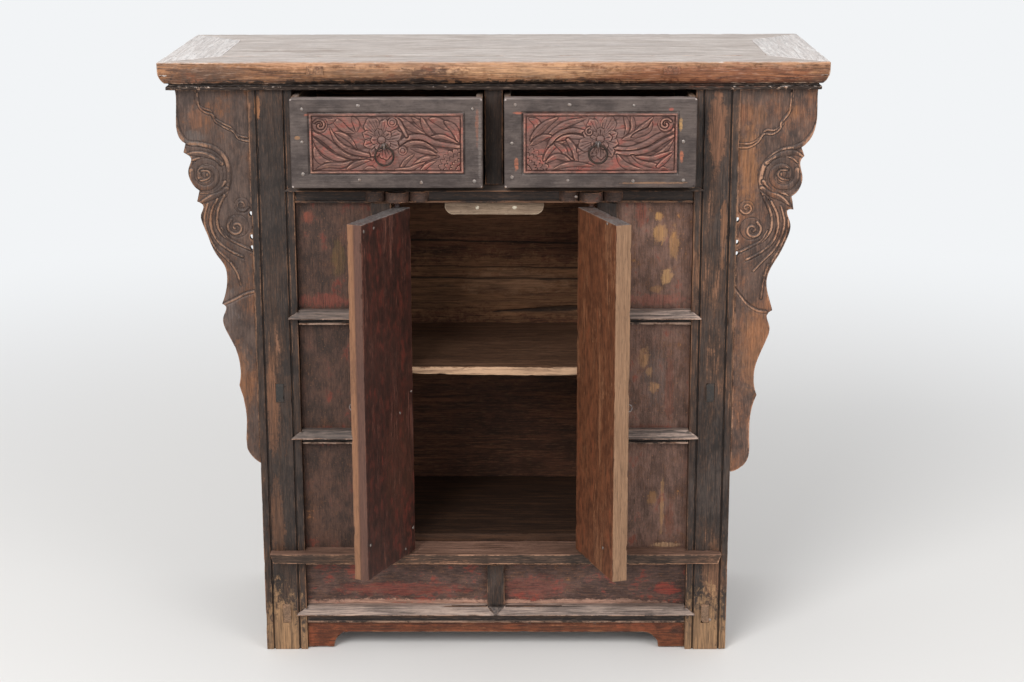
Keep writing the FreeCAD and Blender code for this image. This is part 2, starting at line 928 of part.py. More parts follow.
posts = {}
for side, sign in SIDES:
    name = "post_front_%s" % side
    posts["front_%s" % side] = keep(
        cut(
            name,
            post_blank(name, sign, NONE, s.post_depth),
            bead_groove(name + "_inner_groove", sign, post_inner + s.post_bead),
            bead_groove(name + "_outer_groove", sign, post_outer - s.post_bead - s.groove_width),
            rail_drawer_blank,
            rail_sill_blank,
            rail_lower_blank,
            middle_rails["rail_middle_upper_%s" % side],
            middle_rails["rail_middle_lower_%s" % side],
            front_panels[side],
            panel_lower,
            side_panels[side],
            ears[side],
            *side_rails[side],
        ),
        name,
    )
    name = "post_back_%s" % side
    posts["back_%s" % side] = keep(
        cut(
            name,
            post_blank(name, sign, back_post_front, s.back_post_depth),
            back_blank,
            back_rail,
            side_panels[side],
            *side_rails[side],
        ),
        name,
    )

# Floor, shelf and drawer bed, notched round the posts


def inner_board(name, front, back, under, thickness):
    low, span = across(side_reach)
    return box(name, (low, front, under), (span, back - front, thickness))


floor_board = keep(
    cut(
        "floor_board",
        inner_board("floor_board_blank", s.floor_setback, back_board_front, sill_top, s.floor_thickness),
        *posts.values(),
    ),
    "floor_board",
)
shelf_board = keep(
    cut(
        "shelf_board",
        inner_board("shelf_board_blank", s.shelf_setback, back_board_front, shelf_under, s.shelf_thickness),
        *posts.values(),
    ),
    "shelf_board",
)
rail_back_face = s.face_recess + s.rail_depth
bed_blank = inner_board(
    "drawer_bed_blank",
    rail_back_face - s.bed_tongue,
    back_board_front + s.bed_tongue,
    drawer_rail_top - s.bed_thickness,
    s.bed_thickness,
)
low, span = across(s.divider_width / 2)
guides = [
    box(
        "drawer_guide_middle",
        (low, rail_back_face, drawer_rail_top),
        (span, back_board_front - rail_back_face, s.guide_height),
    )
]
for side, sign in SIDES:
    guides.append(
        box(
            "drawer_guide_%s" % side,
            (out_from_middle(sign, post_inner, s.guide_width), s.post_depth, drawer_rail_top),
            (s.guide_width, back_post_front - s.post_depth, s.guide_height),
        )
    )
drawer_bed = keep(
    cut("drawer_bed", fuse("drawer_bed_guided", bed_blank, *guides), *posts.values()), "drawer_bed"
)
back_board = keep(cut("back_board", back_blank, drawer_bed), "back_board")

# Divider between the drawers
divider = keep(
    shaped(
        "divider",
        ridged_solid(s.divider_width.value, s.rail_depth.value, s.drawer_opening_height.value),
        NONE,
        s.face_recess,
        drawer_rail_top,
    ),
    "divider",
)

rail_drawer = keep(
    cut(
        "rail_drawer",
        rail_drawer_blank,
        drawer_bed,
        *front_panels.values(),
        *stiles.values(),
    ),
    "rail_drawer",
)

# Sockets for the doors' foot pins, bored down into the sill's nose
foot_hole_depth = s.foot_pin_length - s.door_bottom_gap + s.pivot_seat_gap
foot_holes = [
    cylinder(
        "foot_socket_%s" % side,
        (pivot_place * sign, -s.pivot_stand, sill_top - foot_hole_depth),
        s.pivot_radius + s.pivot_clearance,
        foot_hole_depth + s.overrun,
    )
    for side, sign in SIDES
]
rail_sill = keep(
    cut(
        "rail_sill",
        rail_sill_blank,
        panel_lower,
        *front_panels.values(),
        *stiles.values(),
        *foot_holes,
    ),
    "rail_sill",
)
rail_lower = keep(cut("rail_lower", rail_lower_blank, panel_lower, muntin), "rail_lower")

for name, blank in frame_parts.items():
    keep(cut(name, blank, top_panel, *battens, *posts.values()), name)

# Pivot blocks: three lobes nailed under the drawer rail's nose, the middle one bored for the head pin
block_under = drawer_rail_under + s.pivot_block_lift
block_height = drawer_rail_top - s.drawer_nose_drop - s.nose_lip - block_under
for side, sign in SIDES:
    name = "pivot_block_%s" % side
    lobes = []
    for lobe, shift, radius, reach in (
        ("centre", NONE, s.centre_lobe_radius, s.centre_lobe_reach),
        ("inner", -s.lobe_spread, s.side_lobe_radius, s.side_lobe_reach),
        ("outer", s.lobe_spread, s.side_lobe_radius, s.side_lobe_reach),
    ):
        round_part = cylinder(
            "%s_%s" % (name, lobe),
            (pivot_place * sign + shift, s.face_recess - reach + radius, block_under),
            radius,
            block_height,
        )
        slab = box(
            "%s_%s_slab" % (name, lobe),
            (pivot_place * sign + shift - radius, s.face_recess - reach, block_under),
            (radius * 2, reach, block_height),
        )
        lobes.append(common("%s_%s_lobe" % (name, lobe), round_part, slab))
    socket = cylinder(
        name + "_socket",
        (pivot_place * sign, -s.pivot_stand, block_under - s.overrun),
        s.pivot_radius + s.pivot_clearance,
        s.head_pin_length - s.door_top_gap - s.pivot_block_lift + s.pivot_seat_gap + s.overrun,
    )
    keep(cut(name, fuse(name + "_lobes", *lobes), socket, rail_drawer), name)

# Stop board behind the drawer rail, with rounded lower corners
low, span = across(s.stop_board_width / 2)
stop_height = s.stop_board_drop + s.drawer_rail_height - s.rail_deck
stop_blank = box(
    "stop_board_blank",
    (low, s.face_recess + s.rail_web, drawer_rail_under - s.stop_board_drop),
    (span, s.stop_board_thickness, stop_height),
)
doc.recompute()
stop_board = doc.addObject("Part::Fillet", "stop_board")
stop_board.Base = stop_blank
stop_bottom = stop_blank.Shape.BoundBox.ZMin
stop_board.Edges = [
    (index, s.stop_board_corner.value, s.stop_board_corner.value)
    for index, edge in enumerate(stop_blank.Shape.Edges, start=1)
    if edge.BoundBox.ZMax - stop_bottom < s.overrun.value and edge.BoundBox.XLength < s.overrun.value
]
keep(stop_board, "stop_board")

# Doors: a plank with a pin at head and foot, swung about the pins. The plank is drawn shut.
door_height = s.door_opening_height - s.door_bottom_gap - s.door_top_gap
door_under = sill_top + s.door_bottom_gap


def local_box(name, corner, spans):
    """A block in a door's own axes."""
    thing = doc.addObject("Part::Box", name)
    for key, measure in zip(("Length", "Width", "Height"), spans):
        thing.setExpression(key, measure.text)
    for key, measure in zip("xyz", corner):
        thing.setExpression("Placement.Base.%s" % key, measure.text)
    return thing


def local_pin(name, under, length):
    """A pin on a door's own axis."""
    thing = doc.addObject("Part::Cylinder", name)
    thing.setExpression("Radius", s.pivot_radius.text)
    thing.setExpression("Height", length.text)
    thing.setExpression("Placement.Base.z", under.text)
    return thing


def staple_solid(x):
    """Half-round iron loop on two legs, standing off the plank's outer face."""
    ring = s.staple_radius.value
    wire = s.staple_wire.value
    leg = s.staple_leg.value
    face = -s.pivot_depth.value
    loop = Part.makeTorus(ring, wire, vector(x, face - leg, 0), vector(1, 0, 0), 0, 360, 180)
    legs = [Part.makeCylinder(wire, leg, vector(x, face, end * ring), vector(0, -1, 0)) for end in (-1, 1)]
    return loop.fuse(legs).removeSplitter()


def swing(thing, sign, angle, lift):
    """Hang a door's piece on its axis at the angle at which it stands open."""
    place(thing, pivot_place * sign, -s.pivot_stand, lift)
    thing.Placement = FreeCAD.Placement(thing.Placement.Base, FreeCAD.Rotation(vector(0, 0, 1), 1))
    thing.setExpression("Placement.Rotation.Angle", "%s * 1 deg" % (angle * sign).text)
    return thing


for side, sign, angle in (("left", -1, s.left_door_angle), ("right", 1, s.right_door_angle)):
    name = "door_%s" % side
    low_x = -s.pivot_inset if sign < 0 else -door_reach
    plank = local_box(
        name + "_plank", (low_x, -s.pivot_depth, door_under), (door_width, s.door_thickness, door_height)
    )
    foot = local_pin(name + "_foot", door_under - s.foot_pin_length, s.foot_pin_length)
    head = local_pin(name + "_head", door_under + door_height, s.head_pin_length)
    keep(swing(fuse(name, plank, foot, head), sign, angle, NONE), name)
    staple_x = -sign * (door_reach.value - s.staple_edge_place.value)
    staple = doc.addObject("Part::Feature", name + "_staple")
    staple.Shape = staple_solid(staple_x)
    keep(swing(staple, sign, angle, door_under + s.staple_lift), name + "_staple")

# Drawers: front, sides, back and bottom, with an eye and a hanging ring
drawer_opening = (s.case_clear_width - s.divider_width) / 2
drawer_half = drawer_opening / 2 - s.drawer_gap
drawer_centre = (drawer_opening + s.divider_width) / 2
drawer_face = -s.drawer_pull
front_under = drawer_rail_top + s.drawer_front_lift
front_height = s.drawer_opening_height - s.drawer_front_lift - s.drawer_front_drop
side_under = drawer_rail_top + s.drawer_run_gap
side_height = s.drawer_opening_height - s.drawer_run_gap - s.drawer_side_drop
field_middle = front_under + front_height / 2
body_front = drawer_face + s.drawer_front_thickness


def eye_solid():
    """Iron eye on a small plate, its hole across the drawer."""
    stand = s.eye_stand.value
    plate = Part.makeCylinder(
        s.eye_plate_radius.value, s.eye_plate_thickness.value, vector(0, 0, 0), vector(0, -1, 0)
    )
    stem = Part.makeCylinder(s.eye_wire.value, stand - s.eye_radius.value, vector(0, 0, 0), vector(0, -1, 0))
    loop = Part.makeTorus(s.eye_radius.value, s.eye_wire.value, vector(0, -stand, 0), vector(1, 0, 0))
    return plate.fuse([stem, loop])


for side, sign, eye_shift, eye_drop in (
    ("left", -1, s.eye_left_shift, s.eye_left_drop),
    ("right", 1, s.eye_right_shift, s.eye_right_drop),
):
    name = "drawer_%s" % side
    middle = drawer_centre * sign
    slab = box(
        name + "_slab",
        (middle - drawer_half, drawer_face, front_under),
        (drawer_half * 2, s.drawer_front_thickness, front_height),
    )
    doc.recompute()
    face_y = slab.Shape.BoundBox.YMin
    eased = doc.addObject("Part::Fillet", name + "_eased")
    eased.Base = slab
    eased.Edges = [
        (index, s.drawer_front_round.value, s.drawer_front_round.value)
        for index, edge in enumerate(slab.Shape.Edges, start=1)
        if edge.BoundBox.YMax - face_y < s.overrun.value
    ]
    field_half = drawer_half - s.field_margin
    field = box(
        name + "_field",
        (middle - field_half, drawer_face - s.field_rise, field_middle - s.field_height / 2),
        (field_half * 2, s.field_rise + s.overrun, s.field_height),
    )
    keep(fuse(name + "_front", eased, field), name + "_front")

    side_half = drawer_half - s.drawer_side_inset
    inner_half = side_half - s.drawer_side_thickness
    bottom = keep(
        box(
            name + "_bottom",
            (
                middle - inner_half - s.drawer_bottom_groove,
                body_front,
                side_under + s.drawer_bottom_lift,
            ),
            (
                (inner_half + s.drawer_bottom_groove) * 2,
                s.drawer_length - s.drawer_back_thickness,
                s.drawer_bottom_thickness,
            ),
        ),
        name + "_bottom",
    )
    for end, low_x in (("left", middle - side_half), ("right", middle + inner_half)):
        board = box(
            "%s_side_%s_blank" % (name, end),
            (low_x, body_front, side_under),
            (s.drawer_side_thickness, s.drawer_length, side_height),
        )
        side_name = "%s_side_%s" % (name, end)
        keep(cut(side_name, board, bottom), side_name)
    keep(
        box(
            name + "_back",
            (middle - inner_half, body_front + s.drawer_length - s.drawer_back_thickness, side_under),
            (inner_half * 2, s.drawer_back_thickness, side_height),
        ),
        name + "_back",
    )

    eye_x = middle + eye_shift * sign
    eye_z = field_middle - eye_drop
    field_face = drawer_face - s.field_rise
    keep(shaped(name + "_eye", eye_solid(), eye_x, field_face, eye_z), name + "_eye")
    hang = s.eye_radius - s.eye_wire - s.ring_wire - s.ring_seat_gap
    ring = doc.addObject("Part::Torus", name + "_ring")
    ring.setExpression("Radius1", s.ring_radius.text)
    ring.setExpression("Radius2", s.ring_wire.text)
    ring.Placement = FreeCAD.Placement(vector(0, 0, 0), FreeCAD.Rotation(vector(1, 0, 0), 90))
    place(ring, eye_x, field_face - s.eye_stand, eye_z - hang - s.ring_radius)
    keep(ring, name + "_ring")

doc.recompute()

# Nothing is written unless every object holds and every sub-part is a sound solid
for thing in doc.Objects:
    if "Invalid" in thing.State or "Error" in thing.State:
        raise RuntimeError("failed: %s %s" % (thing.Label, thing.State))
for name, thing in nodes.items():
    if thing.Shape.isNull() or not thing.Shape.isValid() or not thing.Shape.Solids:
        raise RuntimeError("no sound solid: %s" % name)
for name, thing in nodes.items():
    thing.Shape.exportStep("parts/%s.step" % name)
    extent = thing.Shape.BoundBox
    print(
        "%-28s solids %d  x %8.2f %8.2f  y %8.2f %8.2f  z %8.2f %8.2f"
        % (
            name,
            len(thing.Shape.Solids),
            extent.XMin,
            extent.XMax,
            extent.YMin,
            extent.YMax,
            extent.ZMin,
            extent.ZMax,
        )
    )
print(len(nodes), "sub-parts")
print("pivot axes at x +-%.2f y %.2f" % (pivot_place.value, -s.pivot_stand.value - s.front_setback.value))
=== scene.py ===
"""Looks of an old low cabinet: worn lacquer over elm, carved ears and drawer fields, plank doors and forged rings."""

import contextlib
import enum
import functools
import json
import logging
import math
from collections.abc import Iterator
from dataclasses import dataclass, field, replace

import bmesh
import bpy
import numpy as np
from bmesh.types import BMesh, BMFace
from bpy.types import ID, Material, Mesh, NodeSocket, NodeTree, Object, World, bpy_prop_collection
from mathutils import Matrix, Vector
from mathutils.kdtree import KDTree


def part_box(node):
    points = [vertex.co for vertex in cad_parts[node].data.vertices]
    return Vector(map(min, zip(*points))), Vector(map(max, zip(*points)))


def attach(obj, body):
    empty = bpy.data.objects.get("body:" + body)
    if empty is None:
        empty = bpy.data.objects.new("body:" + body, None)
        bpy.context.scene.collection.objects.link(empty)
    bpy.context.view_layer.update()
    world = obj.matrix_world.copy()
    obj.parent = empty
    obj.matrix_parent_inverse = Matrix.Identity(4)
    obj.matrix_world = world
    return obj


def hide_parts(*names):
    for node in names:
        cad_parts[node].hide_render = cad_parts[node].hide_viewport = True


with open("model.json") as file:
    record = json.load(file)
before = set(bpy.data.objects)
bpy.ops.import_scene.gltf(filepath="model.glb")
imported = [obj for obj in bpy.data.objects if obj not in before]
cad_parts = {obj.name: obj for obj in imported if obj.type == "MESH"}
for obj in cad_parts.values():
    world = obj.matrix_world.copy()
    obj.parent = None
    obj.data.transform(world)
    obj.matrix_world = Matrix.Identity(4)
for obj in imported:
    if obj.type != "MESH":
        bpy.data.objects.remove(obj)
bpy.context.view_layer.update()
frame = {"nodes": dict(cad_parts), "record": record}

log = logging.getLogger("cabinet")
MM = 0.001
# The posts' front faces stand at this Y, and every front measure is taken from there
FRONT = -0.11165
# Points nearer than this are one, faces that turn less are one, and an edge that turns more is worn where it stands out
# and darkened, as dirt and painted shade, where it is sunk
SAME_POINT = 0.01 * MM
FLAT_UNDER = math.radians(0.6)
EDGE_FROM = math.radians(28)
SHADED_FLAT_FROM = math.radians(38)


class Axis(enum.Enum):
    """A direction, such as the one that a board's grain runs along."""

    X = 0
    Y = 1
    Z = 2


class Side(enum.Enum):
    """One of the two like halves, with its sign along X."""

    LEFT = -1
    RIGHT = 1

    @property
    def word(self) -> str:
        """The side's name as the nodes have it."""
        return self.name.lower()


# ---- small tools


def linear(colour: str) -> tuple[float, float, float, float]:
    """Turns an sRGB hex colour to the linear values that a shader takes.

    Args:
        colour: Six hex digits, with or without the hash sign.

    Returns:
        Red, green, blue and an alpha of one.
    """
    digits = colour.lstrip("#")
    parts = [int(digits[i : i + 2], 16) / 255 for i in (0, 2, 4)]
    made = [p / 12.92 if p <= 0.04045 else ((p + 0.055) / 1.055) ** 2.4 for p in parts]
    return made[0], made[1], made[2], 1.0


# What an input takes: an output to link, or a plain value
Given = NodeSocket | float | tuple[float, ...]


def add(tree: NodeTree, kind: str, links: dict | None = None, out: int | str = 0, **settings) -> NodeSocket | None:
    """Adds one node to a tree.

    Args:
        tree: The tree that gets the node.
        kind: The node's type.
        links: For each input, by name or number, an output to link or a plain value.
        out: The output that is given back, by name or number.
        settings: Values of the node's own properties.

    Returns:
        That output, or None for a node that has none.
    """
    made = tree.nodes.new(kind)
    for name, value in settings.items():
        setattr(made, name, value)
    for name, value in (links or {}).items():
        if isinstance(value, NodeSocket):
            tree.links.new(value, made.inputs[name])
        else:
            made.inputs[name].default_value = value
    return made.outputs[out] if len(made.outputs) else None


class Work(enum.Enum):
    """Nodes that the finishes use again and again: type, inputs in the order they are given, output and settings."""

    # A value eased between two levels, to nought and one unless other ends are given
    EASE = ("ShaderNodeMapRange", (0, 1, 2, 3, 4), 0, {"interpolation_type": "SMOOTHSTEP"})
    # The first and a share of the second: the third says how much of it
    PLUS = ("ShaderNodeMath", (2, 0, 1), 0, {"operation": "MULTIPLY_ADD"})
    TIMES = ("ShaderNodeMath", (0, 1), 0, {"operation": "MULTIPLY"})
    MOST = ("ShaderNodeMath", (0, 1), 0, {"operation": "MAXIMUM"})
    LENGTH = ("ShaderNodeVectorMath", (0,), "Value", {"operation": "LENGTH"})
    # By a share, the second colour under the third
    COVER = ("ShaderNodeMix", (0, 6, 7), 2, {"data_type": "RGBA", "clamp_factor": True})
    FINISH = ("ShaderNodeOutputMaterial", (0,), 0, {})


EASE, PLUS, TIMES, MOST, LENGTH, COVER, FINISH = Work


def put(tree: NodeTree, work: Work, *given: Given) -> NodeSocket | None:
    """Adds one of the nodes that are used again and again.

    Args:
        tree: The tree that gets the node.
        work: Which one.
        given: Its inputs, in that node's order.

    Returns:
        Its output.
    """
    kind, inputs, out, settings = work.value
    return add(tree, kind, dict(zip(inputs, given)), out, **settings)


def empty_tree(owner: Material | World) -> NodeTree:
    """Turns on the nodes of a material or world, and clears them."""
    owner.use_nodes = True
    owner.node_tree.nodes.clear()
    return owner.node_tree


def cloud(points: np.ndarray, size: float, seed: int, octaves: int = 1) -> np.ndarray:
    """Smooth random values over space.

    Args:
        points: Places, one row each, in metres.
        size: Width of one bump of the pattern, in metres.
        seed: Picks the pattern.
        octaves: How many finer layers are laid over each other.

    Returns:
        A value from 0 to 1 for each place.
    """
    total = np.zeros(len(points))
    weight = 0.0
    for octave in range(octaves):
        p = points * (2**octave / size) + (seed * 7.31 + octave * 3.7)
        low = np.floor(p).astype(np.int64)
        part = p - low
        part = part * part * (3 - 2 * part)
        layer = np.zeros(len(points))
        for corner in range(8):
            step = np.array([corner & 1, corner >> 1 & 1, corner >> 2 & 1])
            q = low + step
            mixed = (q[:, 0] * 73856093) ^ (q[:, 1] * 19349663) ^ (q[:, 2] * 83492791) ^ (seed * 40503)
            mixed = ((mixed ^ (mixed >> 13)) * 1274126177) & 0x7FFFFFFF
            mixed ^= mixed >> 15
            layer += (mixed & 0xFFFF) / 65535 * np.prod(np.where(step, part, 1 - part), axis=1)
        total += layer * 0.5**octave
        weight += 0.5**octave
    return total / weight


def smooth(low: float, high: float, values: np.ndarray) -> np.ndarray:
    """Eases values from 0 at low to 1 at high."""
    part = np.clip((values - low) / (high - low), 0, 1)
    return part * part * (3 - 2 * part)


def spread(mesh: Mesh, name: str, values: np.ndarray) -> None:
    """Keeps one number for each point of a mesh, for its material to read."""
    if name not in mesh.attributes:
        mesh.attributes.new(name, "FLOAT", "POINT")
    mesh.attributes[name].data.foreach_set("value", np.asarray(values, np.float32))


def kept_on(mesh: Mesh, name: str) -> np.ndarray:
    """The numbers that a mesh's points keep under a name."""
    values = np.zeros(len(mesh.vertices), np.float32)
    mesh.attributes[name].data.foreach_get("value", values)
    return values


def raise_to(mesh: Mesh, name: str, values: np.ndarray) -> None:
    """Raises the numbers kept under a name to new ones, where these are higher."""
    spread(mesh, name, np.maximum(kept_on(mesh, name), values))


def rows_of(held: bpy_prop_collection, name: str) -> np.ndarray:
    """Reads three numbers from each item of a collection, one row each."""
    flat = np.zeros(len(held) * 3, np.float32)
    held.foreach_get(name, flat)
    return flat.reshape(-1, 3).astype(float)


def place_of(mesh: Mesh) -> np.ndarray:
    """The places of a mesh's points, one row each."""
    return rows_of(mesh.vertices, "co")


def move_to(mesh: Mesh, places: np.ndarray) -> None:
    """Moves a mesh's points to new places."""
    mesh.vertices.foreach_set("co", places.astype(np.float32).ravel())


def link(name: str, data: ID) -> Object:
    """Puts new data in the scene as an object."""
    made = bpy.data.objects.new(name, data)
    bpy.context.scene.collection.objects.link(made)
    return made


def settled(holder: Object) -> Mesh:
    """Turns an object with its modifiers to a plain mesh, and removes the object."""
    seen = bpy.context.evaluated_depsgraph_get()
    made = bpy.data.meshes.new_from_object(holder.evaluated_get(seen), depsgraph=seen)
    bpy.data.objects.remove(holder)
    return made


@contextlib.contextmanager
def opened(start: Mesh | None, end: Mesh | None = None) -> Iterator[BMesh]:
    """Opens a mesh for work on its faces.

    Args:
        start: The mesh, or None to start from nothing.
        end: The mesh that keeps the result, where it is another one.

    Yields:
        The open mesh.
    """
    work = bmesh.new()
    if start is not None:
        work.from_mesh(start)
    yield work
    work.to_mesh(start if end is None else end)
    work.free()


def slice_at(work: BMesh, geom: list, axis: Axis, place: float) -> list:
    """Cuts across one direction at one place, and gives back what there is then."""
    at, way = Vector((0, 0, 0)), Vector((0, 0, 0))
    at[axis.value] = place
    way[axis.value] = 1
    return bmesh.ops.bisect_plane(work, geom=geom, plane_co=at, plane_no=way, dist=1e-6)["geom"]


def cut_all(work: BMesh, faces: list[BMFace], axis: Axis, places: list[float]) -> list[BMFace]:
    """Cuts faces across one direction at many places, halving them first so that no cut meets them all.

    Args:
        work: The mesh.
        faces: Those of its faces that are cut.
        axis: The direction.
        places: Where the cuts lie along it, from low to high.

    Returns:
        The faces after the cuts.
    """
    if not places or not faces:
        return faces

    geom = [*faces, *{e for f in faces for e in f.edges}, *{v for f in faces for v in f.verts}]
    few = len(places) < 12
    middle = len(places) // 2
    for place in places if few else places[middle : middle + 1]:
        geom = slice_at(work, geom, axis, place)
    kept = [g for g in geom if isinstance(g, BMFace)]
    if few:
        return kept
    below, above = [], []
    for f in kept:
        (above if f.calc_center_median()[axis.value] > places[middle] else below).append(f)
    done = cut_all(work, below, axis, places[:middle])
    return done + cut_all(work, above, axis, places[middle + 1 :])


BODY_OF = {n: body for body, nodes in frame["record"]["behaviour"]["bodies"].items() for n in nodes}
SLOT_OF = {s["node"]: s["material_slot"] for s in frame["record"]["subparts"]}


def show(mesh: Mesh, name: str, body: str, nodes: tuple[str, ...] = ()) -> None:
    """Puts a finished mesh in the scene as a piece.

    Args:
        mesh: The mesh, with its place in its points.
        name: The piece's name.
        body: The body that it rides on.
        nodes: The solids that it stands for.
    """
    piece = link(name, mesh)
    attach(piece, body)
    if nodes:
        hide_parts(*nodes)
    log.info("%s: %d faces on %s", name, len(mesh.polygons), body)


# ---- finishes


@dataclass(frozen=True)
class Patch:
    """A place where the finish is worn through, stained or brighter.

    The centre and reach are in millimetres, across from the middle, back from the posts' front and up from the floor.
    """

    centre: tuple[float, float, float]
    reach: tuple[float, float, float]
    colour: str
    strength: float = 0.8


def patches_at(back: float, through: float, *rows: tuple[float, float, float, float, str, float]) -> tuple[Patch, ...]:
    """Patches of one face that looks forward.

    Args:
        back: How far the face is back from the posts' front, in millimetres.
        through: The patches' reach through the board.
        rows: For each, its place across and up, its reach across and up, its colour and its strength.

    Returns:
        The patches.
    """
    return tuple(Patch((x, back, z), (wide, through, tall), *rest) for x, z, wide, tall, *rest in rows)


# Finishes whose tree is built, so that a board of the same finish gets a copy
FINISHED: dict["AgedWood", Material] = {}


@dataclass(frozen=True)
class AgedWood:
    """Elm board with what is left of its coat.

    Real material: elm or other hard northern wood, hand planed, under thin oil lacquer rubbed through by a century of
    use. To the eye that gives a dark, uneven, half-matt coat, long streaks of brown wood along the grain and pale
    edges.
    """

    name: str
    coat: str
    coat_deep: str
    wood: str
    wood_dark: str
    edge: str
    grain: Axis = Axis.Z
    seed: int = 1
    # Noise level above which the wood lies bare: 0.5 is half of it, 0.7 hardly any
    bare_from: float = 0.6
    bare_soft: float = 0.04
    edge_wear: float = 0.3
    red: str = "#6a2e28"
    red_from: float = 0.66
    patch_mm: float = 70.0
    patch_stretch: float = 0.3
    grain_mm: float = 3.5
    grain_share: float = 0.34
    thin_share: float = 0.75
    rubbed: float = 0.6
    line_share: float = 0.5
    flake_share: float = 0.25
    pore_share: float = 0.34
    # How much the hollows darken, and their colour: dirt, and painted shade in concave corners, joints, flutes and
    # carved grooves
    darkening: float = 0.8
    dirt_colour: str = "#1a1310"
    specks: float = 0.0
    # What faces up is lightened by these: real dust, and a painted sheen where the sky would shine on it
    dust_and_sheen: str = "#9a8c84"
    dust_deep: str = "#5a5654"
    dust_share: float = 0.45
    dust_least: float = 0.35
    coat_rough: float = 0.5
    wood_rough: float = 0.75
    gloss: float = 0.25
    crackle: float = 0.0
    bump: float = 0.45
    # Dark and light colour of the parts that a board's own pale and tint values pick out
    pale: tuple[str, str] | None = None
    tint: tuple[str, str] | None = None
    patches: tuple[Patch, ...] = ()

    def material(self) -> Material:
        """Builds the material.

        Returns:
            A material of nodes, all on Object coordinates.
        """
        moved = (self.seed * 0.371, self.seed * 0.733, self.seed * 1.137)
        like = replace(self, name="", seed=0)
        if like in FINISHED:
            made = FINISHED[like].copy()
            made.name = self.name
            made.node_tree.nodes["seed"].inputs["Location"].default_value = moved
            return made
        made = bpy.data.materials.new(self.name)
        FINISHED[like] = made
        tree = empty_tree(made)
        lay = functools.partial(put, tree)
        here = add(tree, "ShaderNodeTexCoord", out="Object")
        own = add(tree, "ShaderNodeMapping", {"Vector": here, "Location": moved}, name="seed")

        def lengthwise(share: float, turn: int) -> NodeSocket:
            """Coordinates drawn out along the grain, each time from another place."""
            scale = [1.0, 1.0, 1.0]
            scale[self.grain.value] = share
            return add(tree, "ShaderNodeMapping", {"Vector": own, "Location": (turn,) * 3, "Scale": scale})

        def pattern(
            share: float, turn: int, size_mm: float, detail: float, rough: float, bend: float = 0.0
        ) -> NodeSocket:
            """A noise whose bumps are size_mm wide across the grain."""
            run = {"Vector": lengthwise(share, turn), "Scale": 1000 / size_mm}
            kind = {"Detail": detail, "Roughness": rough, "Distortion": bend}
            return add(tree, "ShaderNodeTexNoise", run | kind)

        grain = pattern(0.05, 1, self.grain_mm, 7, 0.66, 0.7)
        lines = pattern(0.045, 3, 2.0, 5, 0.65)
        # Flakes a few millimetres wide, and the pores, drawn coarser than real ones so that they still show
        flake = pattern(0.7, 17, 8.0, 8, 0.75, 0.4)
        pores = pattern(0.13, 13, 1.8, 3, 0.6)
        broad = pattern(self.patch_stretch, 5, self.patch_mm, 12, 0.7)
        mottle = pattern(0.55, 7, self.patch_mm * 0.4, 12, 0.72)
        speck = pattern(0.8, 11, 2.6, 4, 0.7)
        # The same patterns as swings to both sides of nought
        grain_swing, flake_swing, broad_swing, mottle_swing, speck_swing = (
            lay(PLUS, noise, -0.5, 1.0) for noise in (grain, flake, broad, mottle, speck)
        )
        worn, hollow = (
            add(tree, "ShaderNodeAttribute", out="Fac", attribute_name=name) for name in ("worn", "hollow")
        )

        # How far each place is worn: broad patches, drawn out along the grain, and broken runs of the edges
        broken = lay(EASE, mottle, 0.36, 0.62, 0.15, 1.0)
        edge_level = lay(TIMES, lay(EASE, worn, 0.25, 0.95), broken)
        level = broad
        for swing, share in (
            (grain_swing, self.grain_share),
            (speck_swing, 0.12),
            (flake_swing, self.flake_share),
            (edge_level, self.edge_wear),
            (hollow, -0.2),
        ):
            level = lay(PLUS, level, swing, share)
        thin = lay(EASE, level, self.bare_from - 0.17, self.bare_from, 0.0, self.thin_share)
        bare = lay(EASE, level, self.bare_from - self.bare_soft, self.bare_from + self.bare_soft)
        wood = lay(COVER, lay(EASE, grain, 0.36, 0.64), linear(self.wood_dark), linear(self.wood))
        coat = lay(COVER, lay(EASE, mottle, 0.38, 0.62), linear(self.coat_deep), linear(self.coat))
        blush = lay(PLUS, mottle, broad_swing, -0.5)
        rubbed = lay(PLUS, edge_level, speck_swing, 0.8)
        # What lies over the coat, from the lowest up: how much of it shows, and its colour
        over = [
            (lay(EASE, blush, self.red_from - 0.04, self.red_from + 0.06, 0.0, 0.85), linear(self.red)),
            (thin, linear(self.wood_dark)),
            (bare, wood),
            # Pale rubbed edges; on carved ridges this is also a painted highlight
            (lay(EASE, rubbed, 0.25, 0.75, 0.0, self.rubbed), linear(self.edge)),
        ]
        if self.specks:
            over.append((lay(EASE, speck, 0.6, 0.7, 0.0, self.specks), linear(self.wood)))

        # Dirt lies in the grain's lines; dust and a painted sheen lie on what faces up
        darkening = linear("#1c1410")
        normal = add(tree, "ShaderNodeNewGeometry", out="Normal")
        up = add(tree, "ShaderNodeSeparateXYZ", {0: normal}, 2)
        up_dust_and_sheen = lay(EASE, up, 0.2, 0.8, 0.0, self.dust_share)
        held = lay(EASE, level, 0.32, 0.62, self.dust_least, 1.0)
        dust_and_sheen = lay(COVER, lay(EASE, grain, 0.35, 0.65), linear(self.dust_deep), linear(self.dust_and_sheen))
        over += [
            (lay(EASE, lines, 0.56, 0.36, 0.0, self.line_share), darkening),
            (lay(EASE, speck, 0.42, 0.3, 0.0, 0.35), darkening),
            (lay(TIMES, up_dust_and_sheen, held), dust_and_sheen),
            (lay(EASE, lines, 0.5, 0.34, 0.0, self.line_share * 0.6), linear("#2a1f19")),
        ]
        for name, pair in (("pale", self.pale), ("tint", self.tint)):
            if pair:
                where = add(tree, "ShaderNodeAttribute", out="Fac", attribute_name=name)
                streaks = lay(COVER, lay(EASE, grain, 0.3, 0.7), linear(pair[0]), linear(pair[1]))
                over.append((where, streaks))

